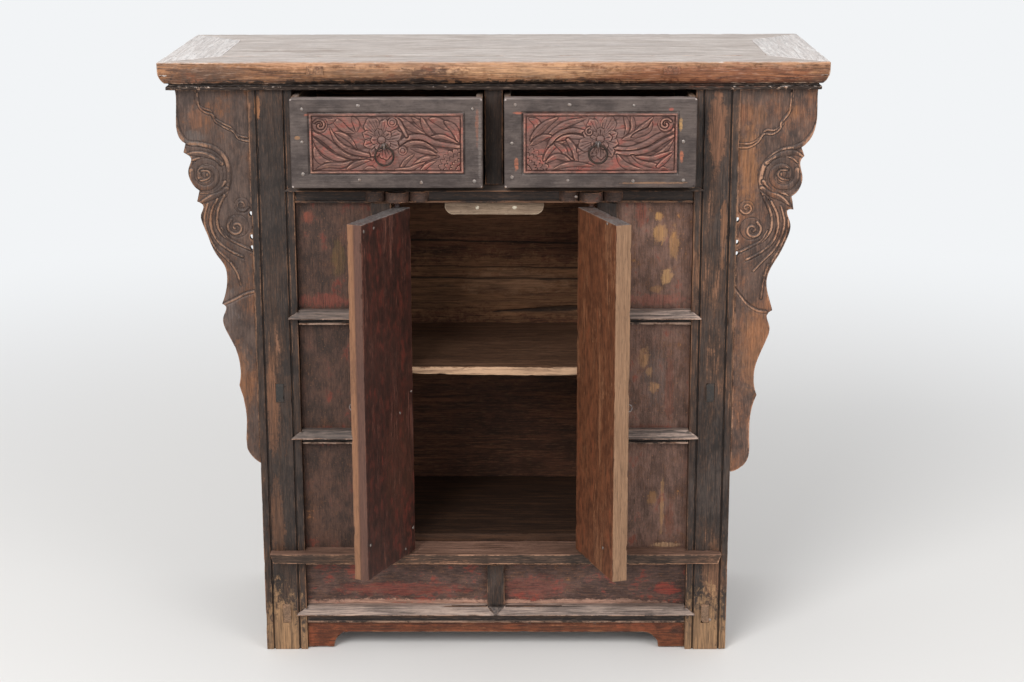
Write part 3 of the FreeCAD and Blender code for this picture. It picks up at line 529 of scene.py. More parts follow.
        # Patches have ragged rims, and the grain runs on through them
        ragged = lay(PLUS, lay(PLUS, mottle_swing, flake, 1.3), grain, 0.5)
        along = lay(EASE, grain, 0.36, 0.6, 0.45, 1.0)
        streaked = lay(TIMES, along, lay(EASE, lines, 0.35, 0.55, 0.5, 1.0))
        for patch in self.patches:
            centre = tuple(c * MM + (FRONT if i == 1 else 0) for i, c in enumerate(patch.centre))
            reach = tuple(r * MM for r in patch.reach)
            there = {"Vector": here, "Location": centre, "Scale": reach}
            far = lay(LENGTH, add(tree, "ShaderNodeMapping", there, vector_type="TEXTURE"))
            share = lay(EASE, lay(PLUS, far, ragged, 2.0), 2.95, 2.45, 0.0, patch.strength)
            over.append((lay(TIMES, share, streaked), linear(patch.colour)))
        over += [
            # Hollows darken: dirt, and painted shade in concave corners, open joints, flutes and carved grooves
            (lay(EASE, hollow, 0.1, 0.8, 0.0, self.darkening), linear(self.dirt_colour)),
            (lay(EASE, pores, 0.52, 0.72, 0.0, self.pore_share), darkening),
            (lay(EASE, pores, 0.48, 0.28, 0.0, self.pore_share * 0.5), linear(self.edge)),
        ]
        colour = coat
        for share, shade in over:
            colour = lay(COVER, share, colour, shade)

        rough = lay(EASE, lay(PLUS, bare, mottle_swing, 0.9), 0.0, 1.0, self.coat_rough, self.wood_rough)
        height = lay(PLUS, lay(PLUS, grain, lines, 0.9), bare, -0.5)
        if self.crackle:
            # Lacquer cracks into cells of about 5 mm
            net = {"Vector": lengthwise(0.8, 9), "Scale": 1000 / 5.0, "Detail": 2.0}
            cells = add(tree, "ShaderNodeTexVoronoi", net, "Distance", feature="DISTANCE_TO_EDGE")
            height = lay(PLUS, height, lay(EASE, cells, 0.0, 0.12), self.crackle)
        bump = add(tree, "ShaderNodeBump", {"Height": height, "Strength": self.bump, "Distance": 0.0009})
        look = {"Base Color": colour, "Roughness": rough, "Normal": bump, "IOR": 1.5, "Specular IOR Level": self.gloss}
        lay(FINISH, add(tree, "ShaderNodeBsdfPrincipled", look))
        return made


@dataclass(frozen=True)
class ForgedIron:
    """Hand-forged wrought iron with a century of patina.

    Real material: charcoal iron, hammered hot and blackened with oil, rusting in the low places. To the eye that gives
    a dark, soft-edged, slightly brown metal with dull highlights and small dents.
    """

    name: str
    dark: str = "#3a3330"
    rust: str = "#5d3a28"
    seed: int = 1

    def material(self) -> Material:
        """Builds the material.

        Returns:
            A material of nodes, all on Object coordinates.
        """
        made = bpy.data.materials.new(self.name)
        tree = empty_tree(made)
        lay = functools.partial(put, tree)
        moved = (self.seed * 0.41, self.seed * 0.77, self.seed * 1.3)
        here = add(tree, "ShaderNodeTexCoord", out="Object")
        there = add(tree, "ShaderNodeMapping", {"Vector": here, "Location": moved})
        # Rust blooms a few millimetres wide, and hammer marks of about the same size
        bloom = add(tree, "ShaderNodeTexNoise", {"Vector": there, "Scale": 1000 / 4.0, "Detail": 6, "Roughness": 0.7})
        marks = add(tree, "ShaderNodeTexNoise", {"Vector": there, "Scale": 1000 / 2.0, "Detail": 3})
        share = lay(EASE, bloom, 0.42, 0.64)
        rough = add(tree, "ShaderNodeMapRange", {0: share, 3: 0.42, 4: 0.8})
        metal = add(tree, "ShaderNodeMapRange", {0: share, 3: 0.85, 4: 0.25})
        bump = add(tree, "ShaderNodeBump", {"Height": marks, "Strength": 0.4, "Distance": 0.0006})
        colour = lay(COVER, share, linear(self.dark), linear(self.rust))
        look = {"Base Color": colour, "Roughness": rough, "Metallic": metal, "Normal": bump}
        lay(FINISH, add(tree, "ShaderNodeBsdfPrincipled", look))
        return made


BLACK_LACQUER = AgedWood(
    name="black_lacquer", coat="#453b36", coat_deep="#292320", wood="#85604a", wood_dark="#503a2d", edge="#8f684e",
    bare_from=0.63, edge_wear=0.16, rubbed=0.75, red="#5a3a2a", red_from=0.7,
)
DARK_LACQUER = replace(
    BLACK_LACQUER, name="dark_lacquer", coat="#382c26", coat_deep="#241c18", bare_from=0.7, dust_and_sheen="#6d625b",
    edge="#8a6146",
)
WORN_LEDGE = replace(
    BLACK_LACQUER, name="worn_ledge", grain=Axis.X, edge="#c0a08c", bare_from=0.58, edge_wear=0.2, rubbed=0.9,
    dust_and_sheen="#a8968d", dust_deep="#625b58", dust_share=0.85,
)
PINK_LEDGE = replace(
    WORN_LEDGE, name="sill_wood", coat="#4d3c32", coat_deep="#30261f", edge="#b98c70", rubbed=0.7, dust_and_sheen="#a07c6a",
    dust_deep="#74574a",
)
PALE_LEDGE = replace(
    WORN_LEDGE, name="pale_ledge", rubbed=0.65, edge="#b5917a", dust_and_sheen="#b8a294", dust_deep="#746660", dust_share=1.0,
    dust_least=0.5,
)
RED_BROWN_LACQUER = AgedWood(
    name="red_brown_lacquer", coat="#5b463d", coat_deep="#3d2f29", wood="#a5714a", wood_dark="#6a4734",
    edge="#94674a", bare_from=0.7, bare_soft=0.03, edge_wear=0.12, red="#743a2f", red_from=0.62, patch_stretch=0.85,
    patch_mm=55.0, grain_share=0.12, line_share=0.2, thin_share=0.5, specks=0.6, flake_share=0.45, crackle=0.5,
    coat_rough=0.55,
)
LIT_PANEL = replace(
    RED_BROWN_LACQUER, name="lit_panel", coat="#7d6054", coat_deep="#584239", wood="#b07c4e", red="#854a3b",
    bare_from=0.66,
)
LOWER_PANEL = replace(
    RED_BROWN_LACQUER, name="lower_panel", grain=Axis.X, coat="#604a43", coat_deep="#43312b", red="#8a3f33",
    red_from=0.58, flake_share=0.6, pore_share=0.5,
    patches=patches_at(
        16, 20, (-150, 98, 100, 11, "#823b30", 0.6), (272, 97, 20, 10, "#9a3d30", 0.75),
        (60, 100, 60, 20, "#8a463a", 0.5), (-150, 74, 220, 7, "#c69a84", 0.8), (120, 74, 150, 6, "#c69a84", 0.75),
    ),
)
APRON_RED = replace(
    RED_BROWN_LACQUER, name="apron_red", grain=Axis.X, coat="#7e462b", coat_deep="#572e1e", wood="#976243",
    wood_dark="#5f3825", bare_from=0.62, red="#85452c", red_from=0.55, patch_stretch=0.3, grain_share=0.35,
    line_share=0.45, specks=0.15, patches=(Patch((294, 7, 31), (14, 30, 11), "#33241e", 0.85),),
)
BARE_ELM = AgedWood(
    name="bare_elm", coat="#5c3f2a", coat_deep="#3a2618", wood="#80583a", wood_dark="#4a2f1d", edge="#a9835f",
    bare_from=0.48, bare_soft=0.1, edge_wear=0.2, red_from=0.95, dust_and_sheen="#8a6e54", dust_deep="#5c4330", dust_share=0.25,
    grain_mm=6.0, line_share=0.45, coat_rough=0.7,
)
BACK_ELM = replace(
    BARE_ELM, name="back_elm", grain=Axis.X, coat="#603c2b", coat_deep="#3a2419", wood="#774c36", wood_dark="#4a2e20",
    grain_share=0.45, patch_mm=90.0, patch_stretch=0.15,
    patches=patches_at(
        330, 40, (0, 520, 420, 62, "#a37652", 0.55), (-60, 640, 260, 34, "#94684a", 0.5),
        (30, 532, 90, 22, "#b08566", 0.5),
    ),
)
FLOOR_ELM = replace(
    BACK_ELM, name="floor_elm", coat="#3a281d", coat_deep="#261912", wood="#4d3424", wood_dark="#2c1d14",
    edge="#4a3223", dust_share=0.0, patches=(),
)
SHELF_ELM = replace(
    BACK_ELM, name="shelf_elm", coat="#674836", coat_deep="#4d3528", wood="#775340", wood_dark="#523828",
    dust_share=0.15,
    patches=(
        Patch((0, 45, 452), (420, 3.2, 14), "#bf9b7d", 1.3), Patch((-110, 180, 460), (60, 60, 8), "#7a5a44", 0.6),
    ),
)
SIDE_ELM = replace(
    BARE_ELM, name="drawer_side_elm", grain=Axis.Y, coat="#5a4d46", coat_deep="#3f352f", wood="#75604f",
    dust_and_sheen="#8f8078", dust_share=0.8,
)
TOP_WOOD = AgedWood(
    name="top_wood", coat="#6a4e3e", coat_deep="#43342c", wood="#a17352", wood_dark="#6b4834", edge="#d6b7a2",
    grain=Axis.X, bare_from=0.47, bare_soft=0.05, edge_wear=0.12, rubbed=0.85, grain_share=0.5, red="#8a5238",
    red_from=0.62, patch_mm=80.0, grain_mm=4.0, line_share=0.4, dust_and_sheen="#dfd7d1", dust_deep="#a89b92", dust_share=1.0,
    dust_least=0.8,
    patches=(
        # The first patch below is a painted shadow that darkens the bead and the lower moulding under the top's front
        # edge
        Patch((0, 150, 898), (900, 600, 20), "#2a1f19", 4.5), Patch((0, -30, 946), (700, 24, 12), "#b58868", 0.95),
        Patch((-200, -20, 932), (90, 60, 10), "#b98c68", 0.5), Patch((-300, 130, 946), (120, 12, 8), "#8a7566", 0.6),
        Patch((-120, 60, 946), (170, 9, 8), "#95806f", 0.5), Patch((180, 190, 946), (150, 8, 8), "#8a7566", 0.5),
        Patch((-300, -20, 920), (140, 60, 4), "#40342f", 0.4), Patch((-110, -20, 918), (45, 60, 4), "#3a2f2b", 0.5),
        Patch((-420, -20, 934), (60, 60, 10), "#5b463a", 0.8), Patch((70, -20, 934), (130, 60, 12), "#c79b75", 0.65),
        Patch((330, -20, 926), (170, 60, 16), "#874d33", 0.6), Patch((130, -20, 921), (8, 60, 4), "#2c2220", 0.85),
        Patch((-60, 160, 946), (90, 14, 8), "#8d7767", 0.35), Patch((220, 80, 946), (120, 10, 8), "#8d7767", 0.35),
    ),
)
# Its hollow colour paints the shade in the ear's carved grooves
EAR_WOOD = AgedWood(
    name="ear_wood", coat="#5a4941", coat_deep="#40342f", wood="#7b5239", wood_dark="#583f32", edge="#9a755d",
    bare_soft=0.09, edge_wear=0.1, rubbed=0.7, red_from=0.95, patch_stretch=0.6, grain_share=0.15,
    thin_share=0.5, line_share=0.2, patch_mm=45.0, darkening=0.7, dirt_colour="#33251f",
    patches=patches_at(
        4, 40, (-448, 862, 13, 20, "#8a5a3e", 0.5), (-455, 830, 18, 10, "#6d625c", 0.5),
        (-418, 560, 20, 40, "#6f6460", 0.5), (-400, 450, 24, 60, "#8f6040", 0.5),
    ),
)
BRIGHT_EAR = replace(
    EAR_WOOD, name="bright_ear_wood", coat="#614c42", wood="#8c5f45", wood_dark="#644536", edge="#bd9074",
    bare_from=0.57,
    patches=patches_at(
        4, 40, (396, 862, 15, 20, "#96643f", 0.4), (450, 868, 10, 10, "#96643f", 0.5),
        (385, 780, 18, 64, "#97653f", 0.65), (400, 500, 24, 70, "#9a6844", 0.5), (385, 890, 60, 10, "#544740", 0.6),
    ),
)
DRAWER_LACQUER = AgedWood(
    name="drawer_lacquer", coat="#594e49", coat_deep="#403734", wood="#8d6450", wood_dark="#55453e", edge="#b9aaa3",
    grain=Axis.X, bare_from=0.74, edge_wear=0.06, rubbed=0.9, grain_share=0.15, line_share=0.2, pore_share=0.1,
    red="#84503f", red_from=0.8, dust_and_sheen="#a79994", dust_deep="#837772", dust_share=0.7,
    patches=patches_at(
        -50, 20, (-262, 872, 18, 2.2, "#b0624a", 0.75), (-290, 838, 4, 3, "#a8784c", 0.8),
        (-24, 858, 3, 30, "#8f5a44", 0.6), (-20, 830, 3, 60, "#857b75", 0.4), (277, 858, 3, 14, "#b48a54", 0.85),
        (279, 812, 2.5, 9, "#b0684a", 0.8), (36, 875, 8, 2.5, "#b0624a", 0.75), (262, 880, 5, 3.5, "#b05240", 0.8),
        (34, 797, 3, 10, "#b0684a", 0.7), (130, 875, 70, 1.6, "#a8624e", 0.55), (240, 770, 40, 1.8, "#b0805a", 0.5),
    ),
)
# Its hollow colour paints the shade in the carving's grooves, and its edge colour a painted highlight on the ridges,
# with the rubbed wear
CARVED_RED = AgedWood(
    name="carved_red", coat="#7d5a51", coat_deep="#5f443d", wood="#83604f", wood_dark="#593e36", edge="#b58673",
    grain=Axis.X, bare_from=0.66, edge_wear=0.1, red="#87493f", red_from=0.55, patch_mm=40.0,
    patch_stretch=0.8, grain_share=0.15, line_share=0.15, dust_share=0.1, darkening=0.95, dirt_colour="#321c17", bump=0.25,
    patches=patches_at(-50, 20, (-158, 838, 34, 34, "#75605a", 0.5), (156, 836, 44, 36, "#7a645e", 0.5)),
)
STOP_PINE = replace(
    BARE_ELM, name="stop_pine", grain=Axis.X, coat="#857061", coat_deep="#6c5a4b", wood="#98826d",
    wood_dark="#776352", edge="#b5a088", dust_share=0.1, line_share=0.2,
)
LEFT_DOOR = replace(
    RED_BROWN_LACQUER, name="left_door_paint", coat="#4d271e", coat_deep="#29150f", wood="#704233",
    wood_dark="#3c201a", edge="#7d5442", red="#61291f", red_from=0.58, bare_from=0.62, patch_stretch=0.1,
    patch_mm=32.0, grain_mm=2.4, grain_share=0.5, line_share=0.4, thin_share=0.6, specks=0.12, crackle=0.0, gloss=0.4,
    dust_and_sheen="#8d8784", dust_deep="#4a4644", dust_share=0.9, pale=("#744e35", "#8d6346"), tint=("#4c3127", "#5f3f32"),
    patches=(
        Patch((-180, -80, 500), (60, 90, 60), "#3d2620", 0.4), Patch((-150, -40, 330), (40, 60, 90), "#5e3a2a", 0.4),
    ),
)
RIGHT_DOOR = replace(
    LEFT_DOOR, name="right_door_paint", coat="#7d4c32", coat_deep="#55301e", wood="#8f5f40", wood_dark="#5b3520",
    edge="#8f6447", red="#7a4129", red_from=0.6, bare_from=0.6, gloss=0.3, pale=("#735640", "#947257"),
    patches=(Patch((160, -60, 640), (40, 14, 90), "#4e2e1e", 0.5),),
)


# ---- worn boards


@dataclass
class Board:
    """One solid of the piece, copied and worn as hand-planed wood is."""

    node: str
    finish: AgedWood
    # Width of the mesh's squares, and how far edges are rounded, in metres
    cell: float = 5 * MM
    ease: float = 0.7 * MM
    # How deep the plane left the faces uneven, and how much the edges have lost
    uneven: float = 0.5 * MM
    edge_loss: float = 1.3 * MM
    # How far from an edge the rubbing shows, and from a concave corner the darkening, which is dirt and painted shade
    rub: float = 2.4 * MM
    dirt_reach: float = 2.4 * MM
    mark_every: float = 2.5 * MM
    seed: int = 1
    # Nodes whose joints in this one are flush, so that no edge shows there
    quiet: tuple[str, ...] = ()

    def solid(self) -> Mesh:
        """The mesh that the board starts from."""
        return frame["nodes"][self.node].data

    def mesh(self) -> Mesh:
        """Copies the solid's mesh, eases its edges and cuts its faces into small squares.

        Returns:
            The mesh, still with the solid's own faces.
        """
        made = bpy.data.meshes.new(self.node + "_worn")
        proud, sunk, sharp = [], [], []
        calm = [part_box(n) for n in self.quiet]
        with opened(self.solid(), made) as work:
            bmesh.ops.remove_doubles(work, verts=work.verts, dist=SAME_POINT)
            bmesh.ops.dissolve_limit(work, angle_limit=FLAT_UNDER, verts=work.verts, edges=work.edges)
            for e in work.edges:
                if len(e.link_faces) != 2 or e.calc_face_angle(0) < EDGE_FROM:
                    continue
                a, b = e.verts[0].co, e.verts[1].co
                if any(self.within(a, low, high) and self.within(b, low, high) for low, high in calm):
                    continue
                sharp.append(e)
                count = max(1, int((b - a).length / self.mark_every))
                kept = proud if e.is_convex else sunk
                kept.extend(a.lerp(b, i / count) for i in range(count + 1))
            bmesh.ops.bevel(
                work, geom=sharp, offset=self.ease, segments=2, profile=0.6, affect="EDGES", clamp_overlap=False
            )
            for axis in Axis:
                geom = work.verts[:] + work.edges[:] + work.faces[:]
                for place in self.cuts(axis):
                    geom = slice_at(work, geom, axis, place)
        here = place_of(made)
        spread(made, "worn", self.nearness(here, proud, self.rub))
        # Concave corners darken with dirt and painted shade
        spread(made, "hollow", self.nearness(here, sunk, self.dirt_reach))
        return made

    def cuts(self, axis: Axis) -> list[float]:
        """Where the faces are cut across one direction, in metres."""
        low, high = (corner[axis.value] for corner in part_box(self.node))
        count = int((high - low) / (self.cell * 1))
        return [low + (high - low) * i / count for i in range(1, count)]

    @staticmethod
    def within(place: Vector, low: Vector, high: Vector) -> bool:
        """Whether a place lies in a box, or within a millimetre of it."""
        return all(low[i] - MM <= place[i] <= high[i] + MM for i in range(3))

    @staticmethod
    def nearness(here: np.ndarray, marks: list[Vector], reach: float) -> np.ndarray:
        """How near each place is to any of the marks.

        Args:
            here: Places, one row each.
            marks: Points along edges.
            reach: Distance at which the nearness has fallen to about a third.

        Returns:
            A value for each place, 1 on a mark and 0 far off.
        """
        if not marks:
            return np.zeros(len(here))
        tree = KDTree(len(marks))
        for i, mark in enumerate(marks):
            tree.insert(mark, i)
        tree.balance()
        far = np.array([tree.find(p)[2] for p in here])
        return np.exp(-((far / reach) ** 2))

    def wear(self, made: Mesh) -> None:
        """Moves the faces in a little, unevenly, and the edges in more."""
        here = place_of(made)
        drawn = np.ones(3)
        drawn[self.finish.grain.value] = 0.25
        planed = cloud(here * drawn, 22 * MM, self.seed, 2)
        nicks = smooth(0.52, 0.85, cloud(here, 13 * MM, self.seed + 40, 3))
        depth = self.uneven * planed + self.edge_loss * kept_on(made, "worn") * nicks
        move_to(made, here - rows_of(made.vertex_normals, "vector") * depth[:, None])

    def dress(self, made: Mesh, tag: int) -> None:
        """Gives the board its own material, with a seed of its own."""
        skin = replace(self.finish, name="%s_%s" % (self.node, self.finish.name), seed=tag)
        made.materials.clear()
        made.materials.append(skin.material())
        for face in made.polygons:
            face.material_index = 0

    def build(self, tag: int) -> None:
        """Makes the worn board and shows it in the solid's place.

        Args:
            tag: The board's number, which seeds its wear.
        """
        self.seed = tag
        made = self.mesh()
        made.shade_smooth()
        made.set_sharp_from_angle(angle=SHADED_FLAT_FROM)
        self.wear(made)
        self.dress(made, tag)
        show(made, self.node + "_board", BODY_OF[self.node], (self.node,))


# ---- carving


class Form(enum.Enum):
    """What a carved stroke is, which gives its outline and its section."""

    LEAF = enum.auto()
    BLADE = enum.auto()
    STEM = enum.auto()
    BEAD = enum.auto()
    CUT = enum.auto()


LEAF, BLADE, STEM, BEAD, CUT = Form
# Points across and up a face, in millimetres
Run = tuple[tuple[float, float], ...]


@dataclass(frozen=True)
class Stroke:
    """One carved stroke."""

    form: Form
    half: float
    high: float
    run: Run


@dataclass
class Relief:
    """Heights over a flat face, in millimetres, laid down stroke by stroke as a carver would leave them."""

    # The grid's lower and upper corner, across and up the face, and the distance between its places
    low: tuple[float, float]
    high: tuple[float, float]
    step: float
    # Height of the flat ground, and depth of the groove that parts a stroke from what lies round it
    ground: float
    dig: float

    def __post_init__(self) -> None:
        """Starts from flat ground over the grid."""
        wide, tall = (int((b - a) / self.step) + 2 for a, b in zip(self.low, self.high))
        self.shape = (tall, wide)
        axes = (start + self.step * np.arange(count) for start, count in zip(self.low, (wide, tall)))
        self.across, self.upward = (grid.ravel() for grid in np.meshgrid(*axes))
        self.height = np.full(len(self.across), float(self.ground))

    def at(self, values: np.ndarray, across: np.ndarray, upward: np.ndarray) -> np.ndarray:
        """Reads one of the grid's values between its places.

        Args:
            values: A value for each place of the grid.
            across: Where to read, across the face.
            upward: Where to read, up the face.

        Returns:
            The values there.
        """
        grid = values.reshape(self.shape)
        u = np.clip((across - self.low[0]) / self.step, 0, self.shape[1] - 1.001)
        v = np.clip((upward - self.low[1]) / self.step, 0, self.shape[0] - 1.001)
        i, j = u.astype(int), v.astype(int)
        s, t = u - i, v - j
        below = grid[j, i] * (1 - s) + grid[j, i + 1] * s
        above = grid[j + 1, i] * (1 - s) + grid[j + 1, i + 1] * s
        return below * (1 - t) + above * t

    def lie(self, reach: float) -> np.ndarray:
        """How far each place lies under what is round it.

        Args:
            reach: How far round it is looked, in millimetres.

        Returns:
            The depth under the mean height there, below nought on a ridge.
        """
        count = max(1, int(reach / self.step))
        mean = self.height.reshape(self.shape)
        for turn in (0, 1, 0, 1):
            padded = np.pad(mean, [(count, count) if axis == turn else (0, 0) for axis in (0, 1)], mode="edge")
            total = np.cumsum(np.insert(padded, 0, 0, axis=turn), axis=turn)
            size = mean.shape[turn]
            ahead = np.take(total, np.arange(size) + 2 * count + 1, axis=turn)
            mean = (ahead - np.take(total, np.arange(size), axis=turn)) / (2 * count + 1)
        return mean.ravel() - self.height

    def part(self, index: np.ndarray, beyond: np.ndarray) -> None:
        """Cuts the groove round a stroke, at the places that lie just beyond its rim."""
        groove = self.dig * np.exp(-(((beyond - 0.5) / 0.6) ** 2))
        floor = np.minimum(self.height[index], self.ground - groove)
        sunk = np.minimum(self.height[index] - groove, floor + 0.6)
        self.height[index] = np.where(beyond < 1.8, sunk, self.height[index])

    def lay(self, made: np.ndarray, beyond: np.ndarray, within: np.ndarray | bool = True) -> None:
        """Gives a shape its heights, and parts it from what lies round it.

        Args:
            made: The shape's height at each place of the grid.
            beyond: How far each place lies beyond the shape's rim, less than nought inside it.
            within: Which places the shape may reach.
        """
        self.height = np.where((beyond <= 0) & within, made, self.height)
        near = np.nonzero((beyond > 0) & (beyond < 2) & within)[0]
        self.part(near, beyond[near])

    @staticmethod
    def line(run: Run, parts: int = 8) -> np.ndarray:
        """Draws a smooth line through the run's points.

        Args:
            run: The points.
            parts: How many short pieces each stretch gets.

        Returns:
            Points along the line, one row each.
        """
        p = np.array([run[0], *run, run[-1]], float)
        made = []
        for a, b, c, d in zip(p[:-3], p[1:-2], p[2:-1], p[3:]):
            for t in np.linspace(0, 1, parts, endpoint=False):
                made.append(
                    0.5 * (2 * b + (c - a) * t + (2 * a - 5 * b + 4 * c - d) * t**2 + (3 * b - a - 3 * c + d) * t**3)
                )
        made.append(p[-1])
        return np.array(made)

    def near(self, run: Run, reach: float) -> tuple[np.ndarray, ...]:
        """Finds the places near a run.

        Args:
            run: The points of the run.
            reach: How far off a place may be.

        Returns:
            The places' numbers, their distances to the line, the shares of its length at which they lie, and 1 for
            each one above the line or -1 for each one under it.
        """
        line = self.line(run) if len(run) > 2 else np.array(run, float)
        low, high = line.min(0) - reach, line.max(0) + reach
        index = np.nonzero(
            (self.across > low[0]) & (self.across < high[0]) & (self.upward > low[1]) & (self.upward < high[1])
        )[0]
        x, y = self.across[index], self.upward[index]
        best = np.full(len(index), 1e9)
        share = np.zeros(len(index))
        above = np.zeros(len(index))
        steps = line[1:] - line[:-1]
        length = np.hypot(steps[:, 0], steps[:, 1])
        before = np.concatenate([[0], np.cumsum(length)])
        for i, (start, step, long) in enumerate(zip(line[:-1], steps, length)):
            if long < 1e-9:
                continue
            t = np.clip(((x - start[0]) * step[0] + (y - start[1]) * step[1]) / long**2, 0, 1)
            dx, dy = x - start[0] - step[0] * t, y - start[1] - step[1] * t
            far = np.hypot(dx, dy)
            closer = far < best
            best[closer] = far[closer]
            above[closer] = np.sign(dy - 0.35 * dx)[closer]
            share[closer] = (before[i] + long * t[closer]) / before[-1]
        return index, best, share, above

    def stroke(self, stroke: Stroke) -> None:
        """Carves one stroke, with a narrow trench round it that parts it from what lies under it."""
        index, far, share, above = self.near(stroke.run, stroke.half + 2.0)
        if stroke.form is LEAF:
            wide = np.sin(math.pi * share**0.8) ** 0.75
        elif stroke.form is BLADE:
            wide = np.minimum(1, 0.6 + 1.4 * share) * (1 - share**2.4) ** 0.8
        elif stroke.form is STEM:
            wide = 0.62 + 0.38 * np.sin(math.pi * np.clip(share, 0, 1))
        else:
            wide = np.ones(len(share))
        wide = np.maximum(stroke.half * wide, 0.05)
        over = self.height[index]
        rel = far / wide
        if stroke.form is CUT:
            self.height[index] = over - stroke.high * np.clip(1 - rel, 0, 1)
            return
        if stroke.form in (LEAF, BLADE):
            # The blade's ridge lies over its middle, so that it falls away long on its lower side
            over_ridge = rel * above - 0.4
            fall = np.where(over_ridge > 0, 0.75 * (over_ridge / 0.6) ** 2, 0.85 * (over_ridge / 1.4) ** 2)
            made = stroke.high * (1 - fall) - 0.3 * stroke.high * np.exp(-((far / 0.55) ** 2))
            made = self.ground + made * smooth(1.04, 0.9, rel)
        else:
            made = self.ground + stroke.high * np.sqrt(np.clip(1 - rel**2, 0, 1))
        self.height[index] = np.where(rel <= 1, made, over)
        outside = rel > 1
        self.part(index[outside], (far - wide)[outside])

    def off_from(self, middle: tuple[float, float]) -> tuple[np.ndarray, np.ndarray]:
        """How far each place is from a middle, and at which angle."""
        dx, dy = self.across - middle[0], self.upward - middle[1]
        return np.hypot(dx, dy), np.arctan2(dy, dx)

    def disc(self, centre: tuple[float, float], radius: float, high: float, rays: int = 0) -> None:
        """Carves a domed disc, such as a petal or a seed head.

        Args:
            centre: Its middle, in millimetres.
            radius: Its radius.
            high: Its height over the ground.
            rays: How many fine grooves run out from its middle.
        """
        far, angle = self.off_from(centre)
        rel = far / radius
        made = self.ground + high * (1 - 0.45 * rel**2) * smooth(1.05, 0.88, rel)
        if rays:
            made -= 0.16 * high * (0.5 + 0.5 * np.cos(angle * rays)) * smooth(0.2, 0.6, rel)
        self.lay(made, far - radius)

    def petal(
        self, middle: tuple[float, float], toward: float, length: float, spread: float, high: float, rays: int = 4
    ) -> None:
        """Carves one petal of a flower, fluted towards the flower's middle.

        Args:
            middle: The flower's middle.
            toward: The angle that the petal points at, in degrees.
            length: How far its tip is from the middle.
            spread: Half the angle that it fills, in degrees.
            high: Its height over the ground, at the rim.
            rays: How many flutes it has.
        """
        far, angle = self.off_from(middle)
        off = (np.degrees(angle) - toward + 180) % 360 - 180
        share = np.abs(off) / spread
        rim = length * np.sqrt(np.clip(1 - 0.8 * share**2.4, 0.02, 1)) * (1 + 0.03 * np.cos(off / spread * math.pi * 3))
        rel = far / rim
        made = self.ground + high * (0.05 + 0.95 * rel**1.8) * smooth(1.02, 0.93, rel) * smooth(1.05, 0.8, share)
        flutes = 0.5 + 0.5 * np.cos(off / spread * math.pi * rays)
        made -= 0.35 * high * flutes * smooth(0.25, 0.6, rel) * smooth(1.0, 0.85, rel)
        self.lay(made, far - rim, share <= 1)

    def rosette(self, centre: tuple[float, float], radius: float, high: float) -> None:
        """Carves a small round flower: a disc with a sunk ring and a boss."""
        self.disc(centre, radius, high)
        far = self.off_from(centre)[0] / radius
        self.height -= 0.6 * high * np.exp(-(((far - 0.55) / 0.14) ** 2))

    def curl(
        self, centre: tuple[float, float], radius: float, high: float, start: float, turns: float, way: int = 1
    ) -> None:
        """Carves a curled bead that winds in to its middle.

        Args:
            centre: The curl's middle.
            radius: Its outer radius.
            high: The bead's height over the ground.
            start: The angle at which it starts, in degrees.
            turns: How many times it goes round.
            way: One for anticlockwise, minus one for clockwise.
        """
        count = max(6, int(turns * 9))
        run = []
        for t in (i / count for i in range(count + 1)):
            angle = math.radians(start) + way * t * turns * 2 * math.pi
            out = radius * (0.88 - 0.72 * t)
            run.append((centre[0] + out * math.cos(angle), centre[1] + out * math.sin(angle)))
        self.stroke(Stroke(BEAD, radius * 0.15, high, tuple(run)))

    def fan(self, corner: tuple[float, float], radius: float, high: float, rows: int, petals: int) -> None:
        """Carves part of a many-petalled flower whose middle lies at a corner.

        Args:
            corner: The flower's middle.
            radius: Its outer radius.
            high: Its height over the ground.
            rows: How many rows of petals it has.
            petals: How many petals a whole row would have.
        """
        far, angle = self.off_from(corner)
        for row in range(rows):
            turned = angle * petals / 2 + row * math.pi / 2
            edge = radius * (1 - row / (rows + 0.4)) * (0.86 + 0.14 * np.abs(np.cos(turned)))
            band = radius / (rows + 0.4)
            rel = np.clip((edge - far) / band, 0, 1)
            made = self.ground + high * (0.75 + 0.25 * row / rows) * (1 - 0.5 * rel)
            made -= 0.35 * high * np.exp(-((np.cos(turned) / 0.16) ** 2))
            self.lay(made, far - edge)


# ---- nails


